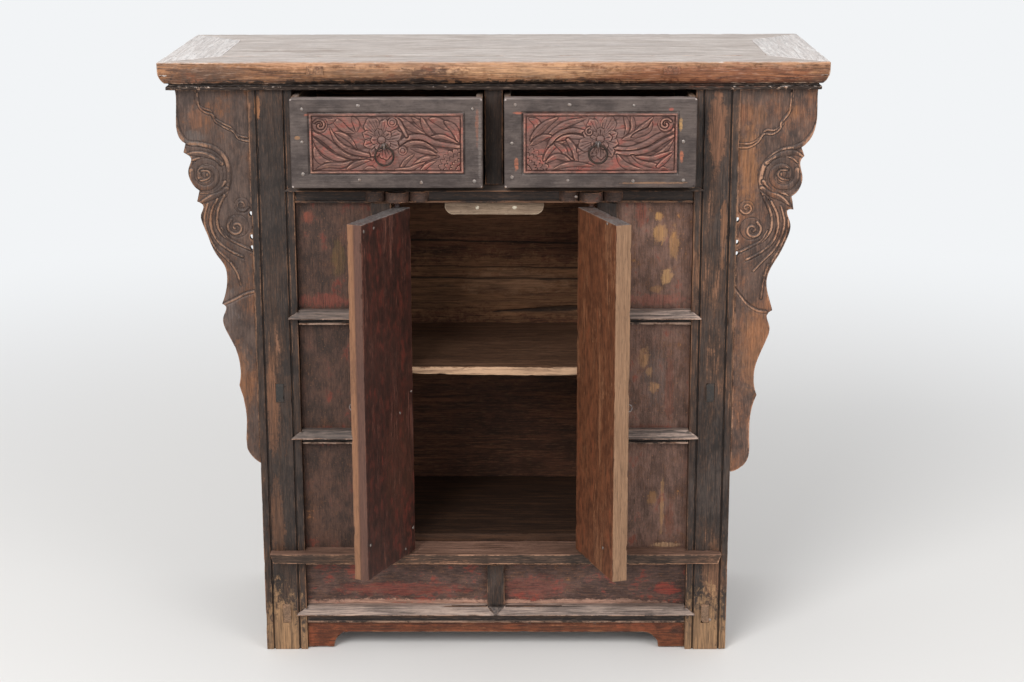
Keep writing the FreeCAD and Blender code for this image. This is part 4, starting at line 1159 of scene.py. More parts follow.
@dataclass
class NailHeads:
    """Forged nail heads, laid out by Geometry Nodes."""

    name: str
    body: str
    # Each nail's place and the direction that its head faces, in metres
    spots: list[tuple[Vector, Vector]]
    radius: float = 2.8 * MM
    rise: float = 1.2 * MM
    seed: int = 5
    iron: ForgedIron = ForgedIron(name="nail", dark="#8b837e", rust="#735e51")

    def tree(self) -> tuple[NodeTree, dict[str, str]]:
        """Builds the tree that sets a flattened dome on each point.

        Returns:
            The tree, and the identifier of each of its inputs by name.
        """
        made = bpy.data.node_groups.new(self.name, "GeometryNodeTree")
        named = {}
        for label, kind, way in (
            ("Geometry", "NodeSocketGeometry", "INPUT"),
            ("Head Radius", "NodeSocketFloat", "INPUT"),
            ("Head Rise", "NodeSocketFloat", "INPUT"),
            ("Seed", "NodeSocketInt", "INPUT"),
            ("Finish", "NodeSocketMaterial", "INPUT"),
            ("Geometry", "NodeSocketGeometry", "OUTPUT"),
        ):
            socket = made.interface.new_socket(name=label, in_out=way, socket_type=kind)
            if way == "INPUT":
                named[label] = socket.identifier
        given = add(made, "NodeGroupInput").node.outputs
        wide = given["Head Radius"]
        dome = add(made, "GeometryNodeMeshUVSphere", {"Segments": 12, "Rings": 8, "Radius": 1.0}, "Mesh")
        size = add(made, "ShaderNodeCombineXYZ", {0: wide, 1: wide, 2: given["Head Rise"]})
        flat = add(made, "GeometryNodeTransform", {"Geometry": dome, "Scale": size})
        facing = {"data_type": "FLOAT_VECTOR"}
        way = add(made, "GeometryNodeInputNamedAttribute", {"Name": "facing"}, "Attribute", **facing)
        turn = add(made, "FunctionNodeAlignRotationToVector", {"Vector": way}, axis="Z")
        reach = {"Min": (0.78, 0.78, 0.7), "Max": (1.12, 1.12, 1.0), "Seed": given["Seed"]}
        uneven = add(made, "FunctionNodeRandomValue", reach, **facing)
        heads = {"Points": given["Geometry"], "Instance": flat, "Rotation": turn, "Scale": uneven}
        real = add(made, "GeometryNodeRealizeInstances", {0: add(made, "GeometryNodeInstanceOnPoints", heads)})
        dressed = add(made, "GeometryNodeSetMaterial", {"Geometry": real, "Material": given["Finish"]})
        add(made, "NodeGroupOutput", {0: dressed})
        return made, named

    def build(self, tag: int) -> None:
        """Sets the heads, and shows them as one piece.

        Args:
            tag: Seeds the iron's finish.
        """
        points = bpy.data.meshes.new(self.name + "_points")
        points.from_pydata([s[0] for s in self.spots], [], [])
        facing = points.attributes.new("facing", "FLOAT_VECTOR", "POINT")
        facing.data.foreach_set("vector", [c for s in self.spots for c in s[1]])
        holder = link(self.name + "_points", points)
        tree, named = self.tree()
        skin = replace(self.iron, name=self.name + "_iron", seed=tag).material()
        laying = holder.modifiers.new("nails", "NODES")
        laying.node_group = tree
        sizes = {"Head Radius": self.radius, "Head Rise": self.rise, "Seed": self.seed, "Finish": skin}
        for label, value in sizes.items():
            laying[named[label]] = value
        made = settled(holder)
        made.shade_smooth()
        show(made, self.name, self.body)


# ---- sub-assemblies


@dataclass
class Boards:
    """A sub-assembly made of worn boards."""

    first_tag: int = 1

    def boards(self) -> list[Board]:
        """Lists the boards."""
        return []

    def build(self) -> None:
        """Makes every board of the list."""
        for i, board in enumerate(self.boards()):
            board.build(self.first_tag + i)


@dataclass
class TopFrame(Boards):
    """The moulded top frame and its panel."""

    first_tag: int = 10

    def boards(self) -> list[Board]:
        """Lists the boards."""
        across = replace(TOP_WOOD, grain=Axis.Y, dust_and_sheen="#eae6e3", dust_deep="#d2cac5")
        tenons = ("top_batten_left", "top_batten_right")
        return [
            Board("top_rail_front", TOP_WOOD, cell=6 * MM, ease=1.5 * MM, edge_loss=1.6 * MM, quiet=tenons),
            Board("top_rail_back", TOP_WOOD, cell=8 * MM, ease=1.5 * MM),
            Board("top_end_left", across, cell=7 * MM, ease=1.5 * MM),
            Board("top_end_right", across, cell=7 * MM, ease=1.5 * MM),
            Board("top_panel", TOP_WOOD, cell=10 * MM),
        ]


@dataclass
class FlutedBoard(Board):
    """A narrow upright with two flutes down its face."""

    # Half width and depth of a flute, and how far it is from the middle, as a share of half the board's width
    flute: float = 2.2 * MM
    deep: float = 1.4 * MM
    flute_out: float = 0.38

    def cuts(self, axis: Axis) -> list[float]:
        """Close together across the flutes."""
        if axis is not Axis.X:
            return super().cuts(axis)
        low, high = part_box(self.node)
        return list(np.arange(low.x + MM, high.x, 1.1 * MM))

    def wear(self, made: Mesh) -> None:
        """Sinks the flutes, and then wears the board as any other."""
        low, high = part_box(self.node)
        middle, half = (low.x + high.x) / 2, (high.x - low.x) / 2
        here = place_of(made)
        front = here[:, 1] < low.y + 1.5 * MM
        beside = np.abs(np.abs(here[:, 0] - middle) - half * self.flute_out) / self.flute
        sunk = np.where(front, smooth(1.0, 0.4, beside), 0)
        here[:, 1] += sunk * self.deep
        move_to(made, here)
        # The flutes darken with dirt and painted shade
        raise_to(made, "hollow", sunk)
        raise_to(made, "worn", np.where(front, np.exp(-(((beside - 1.2) / 0.35) ** 2)), 0) * 0.8)
        super().wear(made)


@dataclass
class FrontFrame(Boards):
    """Posts, rails, stiles and panels of the front."""

    first_tag: int = 30

    def boards(self) -> list[Board]:
        """Lists the boards."""
        worn_places = {
            Side.LEFT: patches_at(
                0, 60, (-347, 410, 11, 80, "#855a40", 0.6), (-345, 225, 13, 65, "#7d543b", 0.5),
                (-355, 878, 4, 20, "#b87c50", 0.8),
            ),
            Side.RIGHT: patches_at(
                0, 60, (338, 838, 13, 62, "#8f6248", 0.7), (349, 690, 5, 60, "#96684a", 0.7),
                (347, 135, 20, 50, "#875f46", 0.6),
            ),
        }
        made = []
        for s in Side:
            tenons = ("side_rail_middle_%s" % s.word, "side_rail_low_%s" % s.word)
            coat = "#3e342f" if s is Side.LEFT else BLACK_LACQUER.coat
            foot = Patch((336 * s.value, 0, 0), (45, 500, 95), BARE_ELM.edge, 0.85)
            skin = replace(BLACK_LACQUER, coat=coat, patches=(*worn_places[s], foot))
            made.append(Board("post_front_%s" % s.word, skin, quiet=tenons, rub=1.6 * MM))
        for kind, node, skin, cell in (
            (Board, "rail_drawer", replace(DARK_LACQUER, grain=Axis.X), 4),
            (Board, "rail_sill", PINK_LEDGE, 4),
            (Board, "rail_lower", PALE_LEDGE, 4),
            (Board, "apron", APRON_RED, 5),
            (Board, "divider", DARK_LACQUER, 4),
            (FlutedBoard, "muntin_lower", BLACK_LACQUER, 4),
            (Board, "stile_left", BLACK_LACQUER, 4),
            (Board, "stile_right", BLACK_LACQUER, 4),
            (Board, "panel_front_left", self.left_panel, 5),
            (Board, "panel_front_right", self.right_panel, 5),
            (Board, "panel_lower", LOWER_PANEL, 5),
            (Board, "stop_board", STOP_PINE, 4),
        ):
            made.append(kind(node, skin, cell=cell * MM))
        for s in Side:
            skin = replace(WORN_LEDGE, dust_and_sheen="#8a7b72" if s is Side.LEFT else "#c8b0a2")
            made += [Board("rail_middle_%s_%s" % (word, s.word), skin, cell=4 * MM) for word in ("upper", "lower")]
            made.append(Board("pivot_block_%s" % s.word, replace(RED_BROWN_LACQUER, grain=Axis.X), cell=3 * MM))
        return made

    @property
    def left_panel(self) -> AgedWood:
        """The left panel's finish: darker, reddish at its foot."""
        places = patches_at(
            16, 20, (-262, 574, 42, 12, "#8a463a", 0.7), (-284, 706, 10, 10, "#8f4a38", 0.65),
            (-270, 355, 30, 14, "#8a463a", 0.5), (-240, 640, 10, 30, "#7a6038", 0.4),
        )
        return replace(RED_BROWN_LACQUER, coat="#5b4238", patches=places)

    @property
    def right_panel(self) -> AgedWood:
        """The right panel's finish: lighter, with yellow flecks where its colour has come off."""
        places = patches_at(
            16, 20, (252, 706, 7, 6, "#b98a52", 0.9), (256, 680, 13, 15, "#b08454", 0.8),
            (274, 665, 8, 26, "#a87c50", 0.7), (266, 612, 9, 13, "#b98f62", 0.85), (250, 592, 10, 6, "#a5784c", 0.6),
            (225, 712, 9, 22, "#86402f", 0.6), (250, 575, 50, 9, "#96584a", 0.6), (250, 450, 22, 44, "#5c5754", 0.4),
            (231, 481, 9, 17, "#ab8058", 0.75), (240, 460, 5, 9, "#ab8058", 0.6), (248, 434, 9, 8, "#b3855a", 0.75),
            (272, 430, 7, 60, "#74402f", 0.6), (245, 366, 44, 8, "#74463a", 0.6), (272, 173, 24, 4, "#bf9a76", 0.85),
            (264, 236, 3.5, 48, "#ab8258", 0.7), (276, 215, 8, 34, "#74402f", 0.6), (250, 250, 8, 12, "#9c7044", 0.6),
        )
        return replace(LIT_PANEL, patches=places)


@dataclass
class SplitBack(Board):
    """The back, of planks whose joints have opened, with one long split."""

    # Each joint's height at the left and right end of the doorway, in metres, and its half width, in millimetres
    joints: tuple[tuple[float, float, float], ...] = (
        (0.604, 0.598, 1.4), (0.558, 0.555, 1.1), (0.538, 0.536, 1.6), (0.420, 0.424, 1.2),
    )
    doorway_from: float = -0.142
    doorway_wide: float = 0.274
    # Where most of them lie, with the split, and how close together the cuts are there
    fine_from: float = 0.46
    fine_to: float = 0.62
    fine: float = 1.7 * MM

    def cuts(self, axis: Axis) -> list[float]:
        """Close together up the board where most of the joints and the split are."""
        made = super().cuts(axis)
        if axis is Axis.Z:
            made = [z for z in made if not self.fine_from < z < self.fine_to]
            made += list(np.arange(self.fine_from, self.fine_to, self.fine))
        return made

    def wear(self, made: Mesh) -> None:
        """Opens the joints and the split, and then wears the board as any other."""
        here = place_of(made)
        x, z = here[:, 0], here[:, 2]
        wander = 2.5 * MM * (cloud(here * np.array([1, 0, 0]), 40 * MM, 3, 2) - 0.5)
        open_here = np.zeros(len(here))
        for left, right, half in self.joints:
            line = left + (right - left) * (x - self.doorway_from) / self.doorway_wide + wander
            open_here = np.maximum(open_here, np.exp(-(((z - line) / (half * MM)) ** 2)))
        split = smooth(-0.012, 0.12, x) * smooth(0.16, 0.12, x)
        middle = 0.479 + 0.006 * (x + 0.008) / 0.14 + wander * 0.3
        torn = smooth(1.0, 0.6, np.abs(z - middle) / (1 * MM + 5.2 * MM * split)) * (split > 0.01)
        open_here = np.maximum(open_here, torn)
        front = here[:, 1] < here[:, 1].min() + 1 * MM
        here[:, 1] += np.where(front, open_here, 0) * 2.6 * MM
        move_to(made, here)
        # The open joints and the split darken with dirt and painted shade
        raise_to(made, "hollow", open_here)
        super().wear(made)


@dataclass
class SidesAndBack(Boards):
    """Back posts, side rails and panels, and the back."""

    first_tag: int = 60

    def boards(self) -> list[Board]:
        """Lists the boards."""

        def worn_end(node: str, side: Side, grain: Axis, back: float, up: float, *rest: object) -> Board:
            """A black board that is worn at one place by its post."""
            patch = Patch((336 * side.value, back, up), *rest)
            return Board(node % side.word, replace(BLACK_LACQUER, grain=grain, patches=(patch,)), cell=7 * MM)

        made = [worn_end("post_back_%s", s, Axis.Z, 300, 0, (45, 120, 90), BARE_ELM.edge, 0.85) for s in Side]
        for s in Side:
            made += [
                worn_end("side_rail_middle_%s", s, Axis.Y, 0, 300, (60, 6, 400), "#33312f", 1.6),
                worn_end("side_rail_low_%s", s, Axis.Y, 0, 40, (60, 6, 90), "#92745c", 0.9),
                Board("side_panel_%s" % s.word, RED_BROWN_LACQUER, cell=9 * MM),
            ]
        made.append(SplitBack("back_board", BACK_ELM, cell=8 * MM))
        made.append(Board("rail_back_low", replace(BARE_ELM, grain=Axis.X), cell=8 * MM))
        return made


@dataclass
class SaggedBoard(Board):
    """The shelf, whose front edge is of uneven thickness."""

    # Where the edge is thickest, and how far that reaches to both sides
    bulge_at: float = 0.075
    bulge_half: float = 0.07

    def wear(self, made: Mesh) -> None:
        """Lets the front edge sag right of the middle, and then wears the board as any other."""
        low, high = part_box(self.node)
        here = place_of(made)
        front = smooth(low.y + 40 * MM, low.y + 5 * MM, here[:, 1])
        top = (here[:, 2] - low.z) / (high.z - low.z)
        bulge = np.exp(-(((here[:, 0] - self.bulge_at) / self.bulge_half) ** 2))
        left = smooth(-0.02, -0.13, here[:, 0])
        here[:, 2] -= front * top * 1.2 * MM * bulge
        here[:, 2] += front * (1 - top) * MM * (1.8 * left + 1.2 * (1 - bulge))
        move_to(made, here)
        super().wear(made)


@dataclass
class Inside(Boards):
    """Floor, shelf and drawer bed."""

    first_tag: int = 80

    def boards(self) -> list[Board]:
        """Lists the boards."""
        return [
            Board("floor_board", FLOOR_ELM, cell=8 * MM),
            SaggedBoard("shelf_board", SHELF_ELM, cell=6 * MM, ease=1.5 * MM, edge_loss=2.4 * MM),
            Board("drawer_bed", replace(BARE_ELM, grain=Axis.X), cell=10 * MM),
        ]


@dataclass
class EarBoard(Board):
    """An ear, with its face carved in low relief.

    The carving is a cloud-and-leaf scroll: a bead along the edge, a cloud line above, a volute between two leaf tips,
    two small scrolls at the post and long ribs below.
    """

    side: Side = Side.LEFT
    fine: float = 1.15 * MM
    coarse: float = 6 * MM
    carved_from: float = 0.55
    sunk: float = 1.5
    # The carved scrolls leave three small openings at the post, at these heights
    openings: tuple[float, ...] = ()
    opening_half: float = 2.9 * MM
    opening_out: float = 1.6 * MM

    @property
    def face_from(self) -> float:
        """How high the finely cut part of the face starts."""
        return self.carved_from - 4 * MM

    def cuts(self, axis: Axis) -> list[float]:
        """Far apart, because the carved part of the face gets finer squares of its own."""
        low, high = (corner[axis.value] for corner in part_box(self.node))
        if axis is Axis.Y:
            return [low + (high - low) * i / 3 for i in range(1, 3)]
        return list(np.arange(low + self.coarse, high, self.coarse))

    def mesh(self) -> Mesh:
        """Cuts the carved part of the face into finer squares.

        Returns:
            The mesh, still flat.
        """
        made = super().mesh()
        low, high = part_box(self.node)
        fine = self.fine * 1
        with opened(made) as work:
            faces = [f for f in work.faces if f.normal.y < -0.9 and f.calc_center_median().z > self.face_from]
            for axis, start, stop in ((Axis.X, low.x, high.x), (Axis.Z, self.carved_from, high.z)):
                faces = cut_all(work, faces, axis, list(np.arange(start + fine, stop, fine)))
        return made

    def solid(self) -> Mesh:
        """Bores the openings at the post through a copy of the solid."""
        whole, drill = (bpy.data.meshes.new(self.node + word) for word in ("_whole", "_drill"))
        with opened(super().solid(), whole) as work:
            bmesh.ops.remove_doubles(work, verts=work.verts, dist=SAME_POINT)
        low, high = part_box(self.node)
        middle = ((low + high) / 2).y
        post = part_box("post_front_" + self.side.word)[0 if self.side is Side.LEFT else 1].x
        with opened(None, drill) as work:
            for height in self.openings:
                place = Matrix.Translation((post + self.opening_out * self.side.value, middle, height))
                turned = place @ Matrix.Diagonal((1, 1, 1.35, 1)) @ Matrix.Rotation(math.pi / 2, 4, "X")
                sizes = {"radius1": self.opening_half, "radius2": self.opening_half, "depth": 40 * MM}
                bmesh.ops.create_cone(work, cap_ends=True, segments=18, matrix=turned, **sizes)
        board, bit = link(whole.name, whole), link(drill.name, drill)
        cut = board.modifiers.new("openings", "BOOLEAN")
        cut.operation = "DIFFERENCE"
        cut.solver = "EXACT"
        cut.object = bit
        made = settled(board)
        bpy.data.objects.remove(bit)
        return made

    @property
    def lift(self) -> float:
        """How far up the volute's leaves, ribs and curls lie from where the left ear has them, in millimetres."""
        return 0.0 if self.side is Side.LEFT else -5.0

    @property
    def fold(self) -> Run:
        """The fold across the waist, from the post to the outline, in millimetres."""
        if self.side is Side.LEFT:
            return ((366, 592), (384, 587), (400, 579), (421, 569))
        return ((366, 598), (378, 583), (390, 569), (405, 560), (418, 558))

    def strokes(self) -> list[Stroke]:
        """Lists the carved strokes, in millimetres out from the middle and up from the floor."""
        if self.side is Side.LEFT:
            bead = ((479, 903), (480, 880), (479, 856), (475, 838), (464, 823), (444, 820), (423, 814), (409, 802))
            bead += ((403, 788), (402, 766), (410, 742))
            cloud = ((448, 903), (446, 883), (437, 874), (426, 870), (422, 860), (406, 850), (396, 845), (388, 834))
            cloud += ((372, 830),)
            rib = ((404, 636), (395, 620), (390, 602))
        else:
            bead = ((490, 903), (490, 873), (486, 846), (472, 824), (457, 815), (434, 809), (417, 797), (407, 782))
            bead += ((404, 762), (410, 742), (420, 728))
            cloud = ((449, 903), (448, 876), (441, 864), (435, 857), (434, 848), (423, 840), (410, 840), (401, 828))
            cloud += ((387, 820), (370, 820))
            rib = ((419, 632), (413, 608), (410, 580))

        def moved(run: Run, over: float, up: float) -> Run:
            """The same run, moved over and up."""
            return tuple((x + over, z + up) for x, z in run)

        low, lower, outer, edge = (
            moved(run, 0.0, self.lift)
            for run in (
                ((410, 742), (421, 718), (422, 694), (412, 678), (394, 667), (370, 656)),
                ((421, 736), (431, 715), (432, 691), (423, 671), (406, 656), (386, 646)),
                ((436, 729), (442, 706), (439, 685), (428, 662), (411, 644), (397, 628)),
                ((446, 722), (448, 696), (438, 667), (425, 643), (413, 620)),
            )
        )
        rows = (
            (BEAD, 3.6, 1.7, bead),
            (BEAD, 1.5, 1.4, cloud),
            (BEAD, 1.5, 1.4, moved(cloud, -3.0, -6.0)),
            (BLADE, 5.5, 1.6, ((412, 790), (436, 803), (455, 806), (470, 803 + self.lift))),
            (BLADE, 5.0, 1.6, ((415, 782), (432, 793), (448, 797), (461, 794 + self.lift))),
            (BLADE, 5.5, 1.6, ((406, 752), (424, 742), (438, 735), (452, 728 + self.lift))),
            (BLADE, 4.5, 1.6, ((408, 762), (420, 752), (434, 747), (448, 744 + self.lift))),
            (BEAD, 2.2, 1.6, low),
            (BEAD, 2.0, 1.5, lower),
            (BEAD, 1.8, 1.4, outer),
            (BEAD, 1.6, 1.2, edge),
            (BEAD, 1.7, 1.2, rib),
            (BEAD, 1.9, 1.4, self.fold),
            (CUT, 1.6, 0.9, moved(self.fold, 0.0, 4.0)),
            (BEAD, 1.2, 1.2, moved(low[2:], -5.5, -3.0)),
            (CUT, 1.4, 0.9, moved(lower[1:], -4.0, -4.5)),
            (CUT, 1.4, 0.9, moved(outer[1:], -4.0, -3.0)),
        )
        return [Stroke(*row) for row in rows]

    def wear(self, made: Mesh) -> None:
        """Carves the face, and then wears it as any board."""
        here = place_of(made)
        low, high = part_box(self.node)
        front = np.nonzero((here[:, 1] < low.y + 0.3 * MM) & (here[:, 2] > self.face_from))[0]
        out, up = here[front, 0] / MM * self.side.value, here[front, 2] / MM
        relief = Relief((360, 540), (492, 905), 0.6, -self.sunk, 1.3)
        relief.disc((384, 726 + self.lift), 11.5, 0.5)
        relief.disc((392, 694 + self.lift), 17.0, 0.5)
        for stroke in self.strokes():
            relief.stroke(stroke)
        relief.disc((437, 772), 26.0, 0.4)
        relief.curl((437, 772), 26.0, 1.4, 20, 1.6, -1)
        relief.stroke(Stroke(BEAD, 1.6, 1.2, ((446, 764), (436, 766), (430, 772), (434, 779), (444, 779))))
        relief.curl((384, 726 + self.lift), 11.0, 1.3, 200, 1.2, 1)
        relief.curl((394, 692 + self.lift), 15.5, 1.3, 60, 1.3, -1)
        # The leaf ends in a fold across the waist, and below it the board is plain
        height = relief.at(relief.height, out, up)
        under = relief.at(relief.lie(2.4), out, up)
        across, level = zip(*self.fold)
        plain = smooth(0, -6, up - np.interp(out, across, level))
        height = height * (1 - plain) - 0.35 * cloud(here[front] * np.array([1, 1, 0.3]), 5 * MM, self.seed, 2)
        here[front, 1] -= np.minimum(height, -0.05) * MM
        move_to(made, here)
        # Ridges lighten as rubbed wear and painted highlight, hollows darken with painted shade
        for name, shown in (("worn", smooth(0.1, 0.75, -under)), ("hollow", smooth(0.15, 0.9, under))):
            raised = np.zeros(len(here))
            raised[front] = shown * (1 - plain)
            raise_to(made, name, raised)
        super().wear(made)


@dataclass
class Ears(Boards):
    """The two carved ears."""

    first_tag: int = 90

    def boards(self) -> list[Board]:
        """Lists the boards."""
        return [
            EarBoard("ear_%s" % s.word, skin, edge_loss=0.8 * MM, side=s, openings=openings)
            for s, skin, openings in (
                (Side.LEFT, EAR_WOOD, (0.713, 0.677, 0.660)),
                (Side.RIGHT, BRIGHT_EAR, (0.703, 0.668, 0.650)),
            )
        ]


@dataclass
class DoorBoard(Board):
    """A plank door, with the bare wood of its free edge."""

    side: Side = Side.LEFT
    # How far its pins are from the cabinet's middle
    pins_out: float = 0.147

    def plank(self) -> tuple[float, float, np.ndarray, np.ndarray]:
        """Finds how the plank stands.

        Returns:
            Its free edge's distance along it and its inner face's distance through it, both from the middle of the
            floor, and the flat directions along it to its free edge and out of its inner face.
        """
        solid = place_of(frame["nodes"][self.node].data)
        low, high = solid[:, 2].min(), solid[:, 2].max()
        flat = solid[(solid[:, 2] > low + 20 * MM) & (solid[:, 2] < high - 20 * MM)][:, :2]
        if len(flat) < 4:
            flat = solid[:, :2]
        hinge = np.array([self.pins_out * self.side.value, FRONT])
        along = flat[np.argmin(flat[:, 1])] - hinge
        start = math.atan2(along[1], along[0])
        turns = start + np.linspace(-0.3, 0.3, 241)
        turn = min(turns, key=lambda t: np.ptp(flat @ np.array([-math.sin(t), math.cos(t)])))
        a = np.array([math.cos(turn), math.sin(turn)])
        n = np.array([-a[1], a[0]]) * -self.side.value
        return float((flat @ a).max()), float((flat @ n).max()), a, n

    def wear(self, made: Mesh) -> None:
        """Marks the bare edge, and then wears the plank as any board."""
        end, inner, along, out = self.plank()
        flat = place_of(made)[:, :2]
        depth = inner - flat @ out
        edge = (end - flat @ along < 0.9 * MM).astype(float)
        # The left door's edge is bare over its outer half alone
        bare = smooth(13 * MM, 14 * MM, depth) if self.side is Side.LEFT else 1.0
        spread(made, "pale", edge * bare)
        spread(made, "tint", edge * (1 - bare))
        super().wear(made)


@dataclass
class Doors(Boards):
    """The two plank doors with their nail heads."""

    first_tag: int = 100
    # Nail heads on the inner faces: in from the free edge and up from the floor, in millimetres
    left_nails: Run = ((39, 714), (9, 714), (147, 436), (110, 411), (10, 229), (121, 185), (147, 212))
    right_nails: Run = ((36, 721), (40, 215))

    def boards(self) -> list[Board]:
        """Lists the boards."""
        return [
            DoorBoard("door_%s" % s.word, skin, cell=4 * MM, ease=1.2 * MM, edge_loss=1.8 * MM, side=s)
            for s, skin in zip(Side, (LEFT_DOOR, RIGHT_DOOR))
        ]

    def build(self) -> None:
        """Makes the boards and their nails."""
        super().build()
        for s, places in zip(Side, (self.left_nails, self.right_nails)):
            end, inner, along, out = DoorBoard("door_%s" % s.word, LEFT_DOOR, side=s).plank()
            spots = []
            for far, up in places:
                flat = along * (end - far * MM) + out * (inner - 0.3 * MM)
                spots.append((Vector((flat[0], flat[1], up * MM)), Vector((out[0], out[1], 0))))
            NailHeads("door_%s_nails" % s.word, "door_%s" % s.word, spots, radius=2.6 * MM).build(self.first_tag + 6)


@dataclass
class DrawerFront(Board):
    """A drawer's face, with the raised field cut back to take the carving."""

    pocket: float = 1.4 * MM
    corner: float = 5 * MM

    def field(self) -> tuple[Vector, Vector, float]:
        """Finds the raised field.

        Returns:
            Its lowest and highest corner, and the Y of the face round it.
        """
        here = place_of(frame["nodes"][self.node].data)
        top = here[:, 1].min()
        block = here[here[:, 1] < top + 0.1 * MM]
        face = here[here[:, 1] > top + 1 * MM][:, 1].min()
        return Vector(block.min(0)), Vector(block.max(0)), float(face)

    def wear(self, made: Mesh) -> None:
        """Cuts the pocket, and then wears the face as any board."""
        low, high, face = self.field()
        here = place_of(made)
        block = here[:, 1] < face - 0.15 * MM
        here[block, 1] = face + self.pocket
        # Its corners are worn round
        start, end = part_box(self.node)
        middle, square = np.array(((start + end) / 2).xz), np.array(((end - start) / 2).xz) - self.corner
        flat = here[:, [0, 2]] - middle
        off = np.abs(flat) - square
        far = np.hypot(off[:, 0], off[:, 1])
        beyond = (off > 0).all(1) & (far > self.corner)
        off[beyond] *= (self.corner / far[beyond])[:, None]
        here[np.ix_(beyond, [0, 2])] = (middle + np.sign(flat) * (off + square))[beyond]
        move_to(made, here)
        super().wear(made)


@dataclass(frozen=True)
class Scroll:
    """A peony scroll, in millimetres across from its field's left end and up from its foot."""

    flower: tuple[float, float]
    # The corner that a second flower grows from, and the seed head's middle, start and way round
    corner: tuple[float, float]
    seeds: tuple[float, float]
    seeds_start: float
    seeds_way: int
    # Half width, height, form and run, those behind first
    strokes: tuple[tuple[float, float, Form, Run], ...]
    # Direction, length, half angle, height and flutes
    petals: tuple[tuple[float, float, float, float, int], ...]
    # The small flowers, and the curl beside the big one, where the scroll has them
    rosettes: Run = ()
    curls: Run = ()


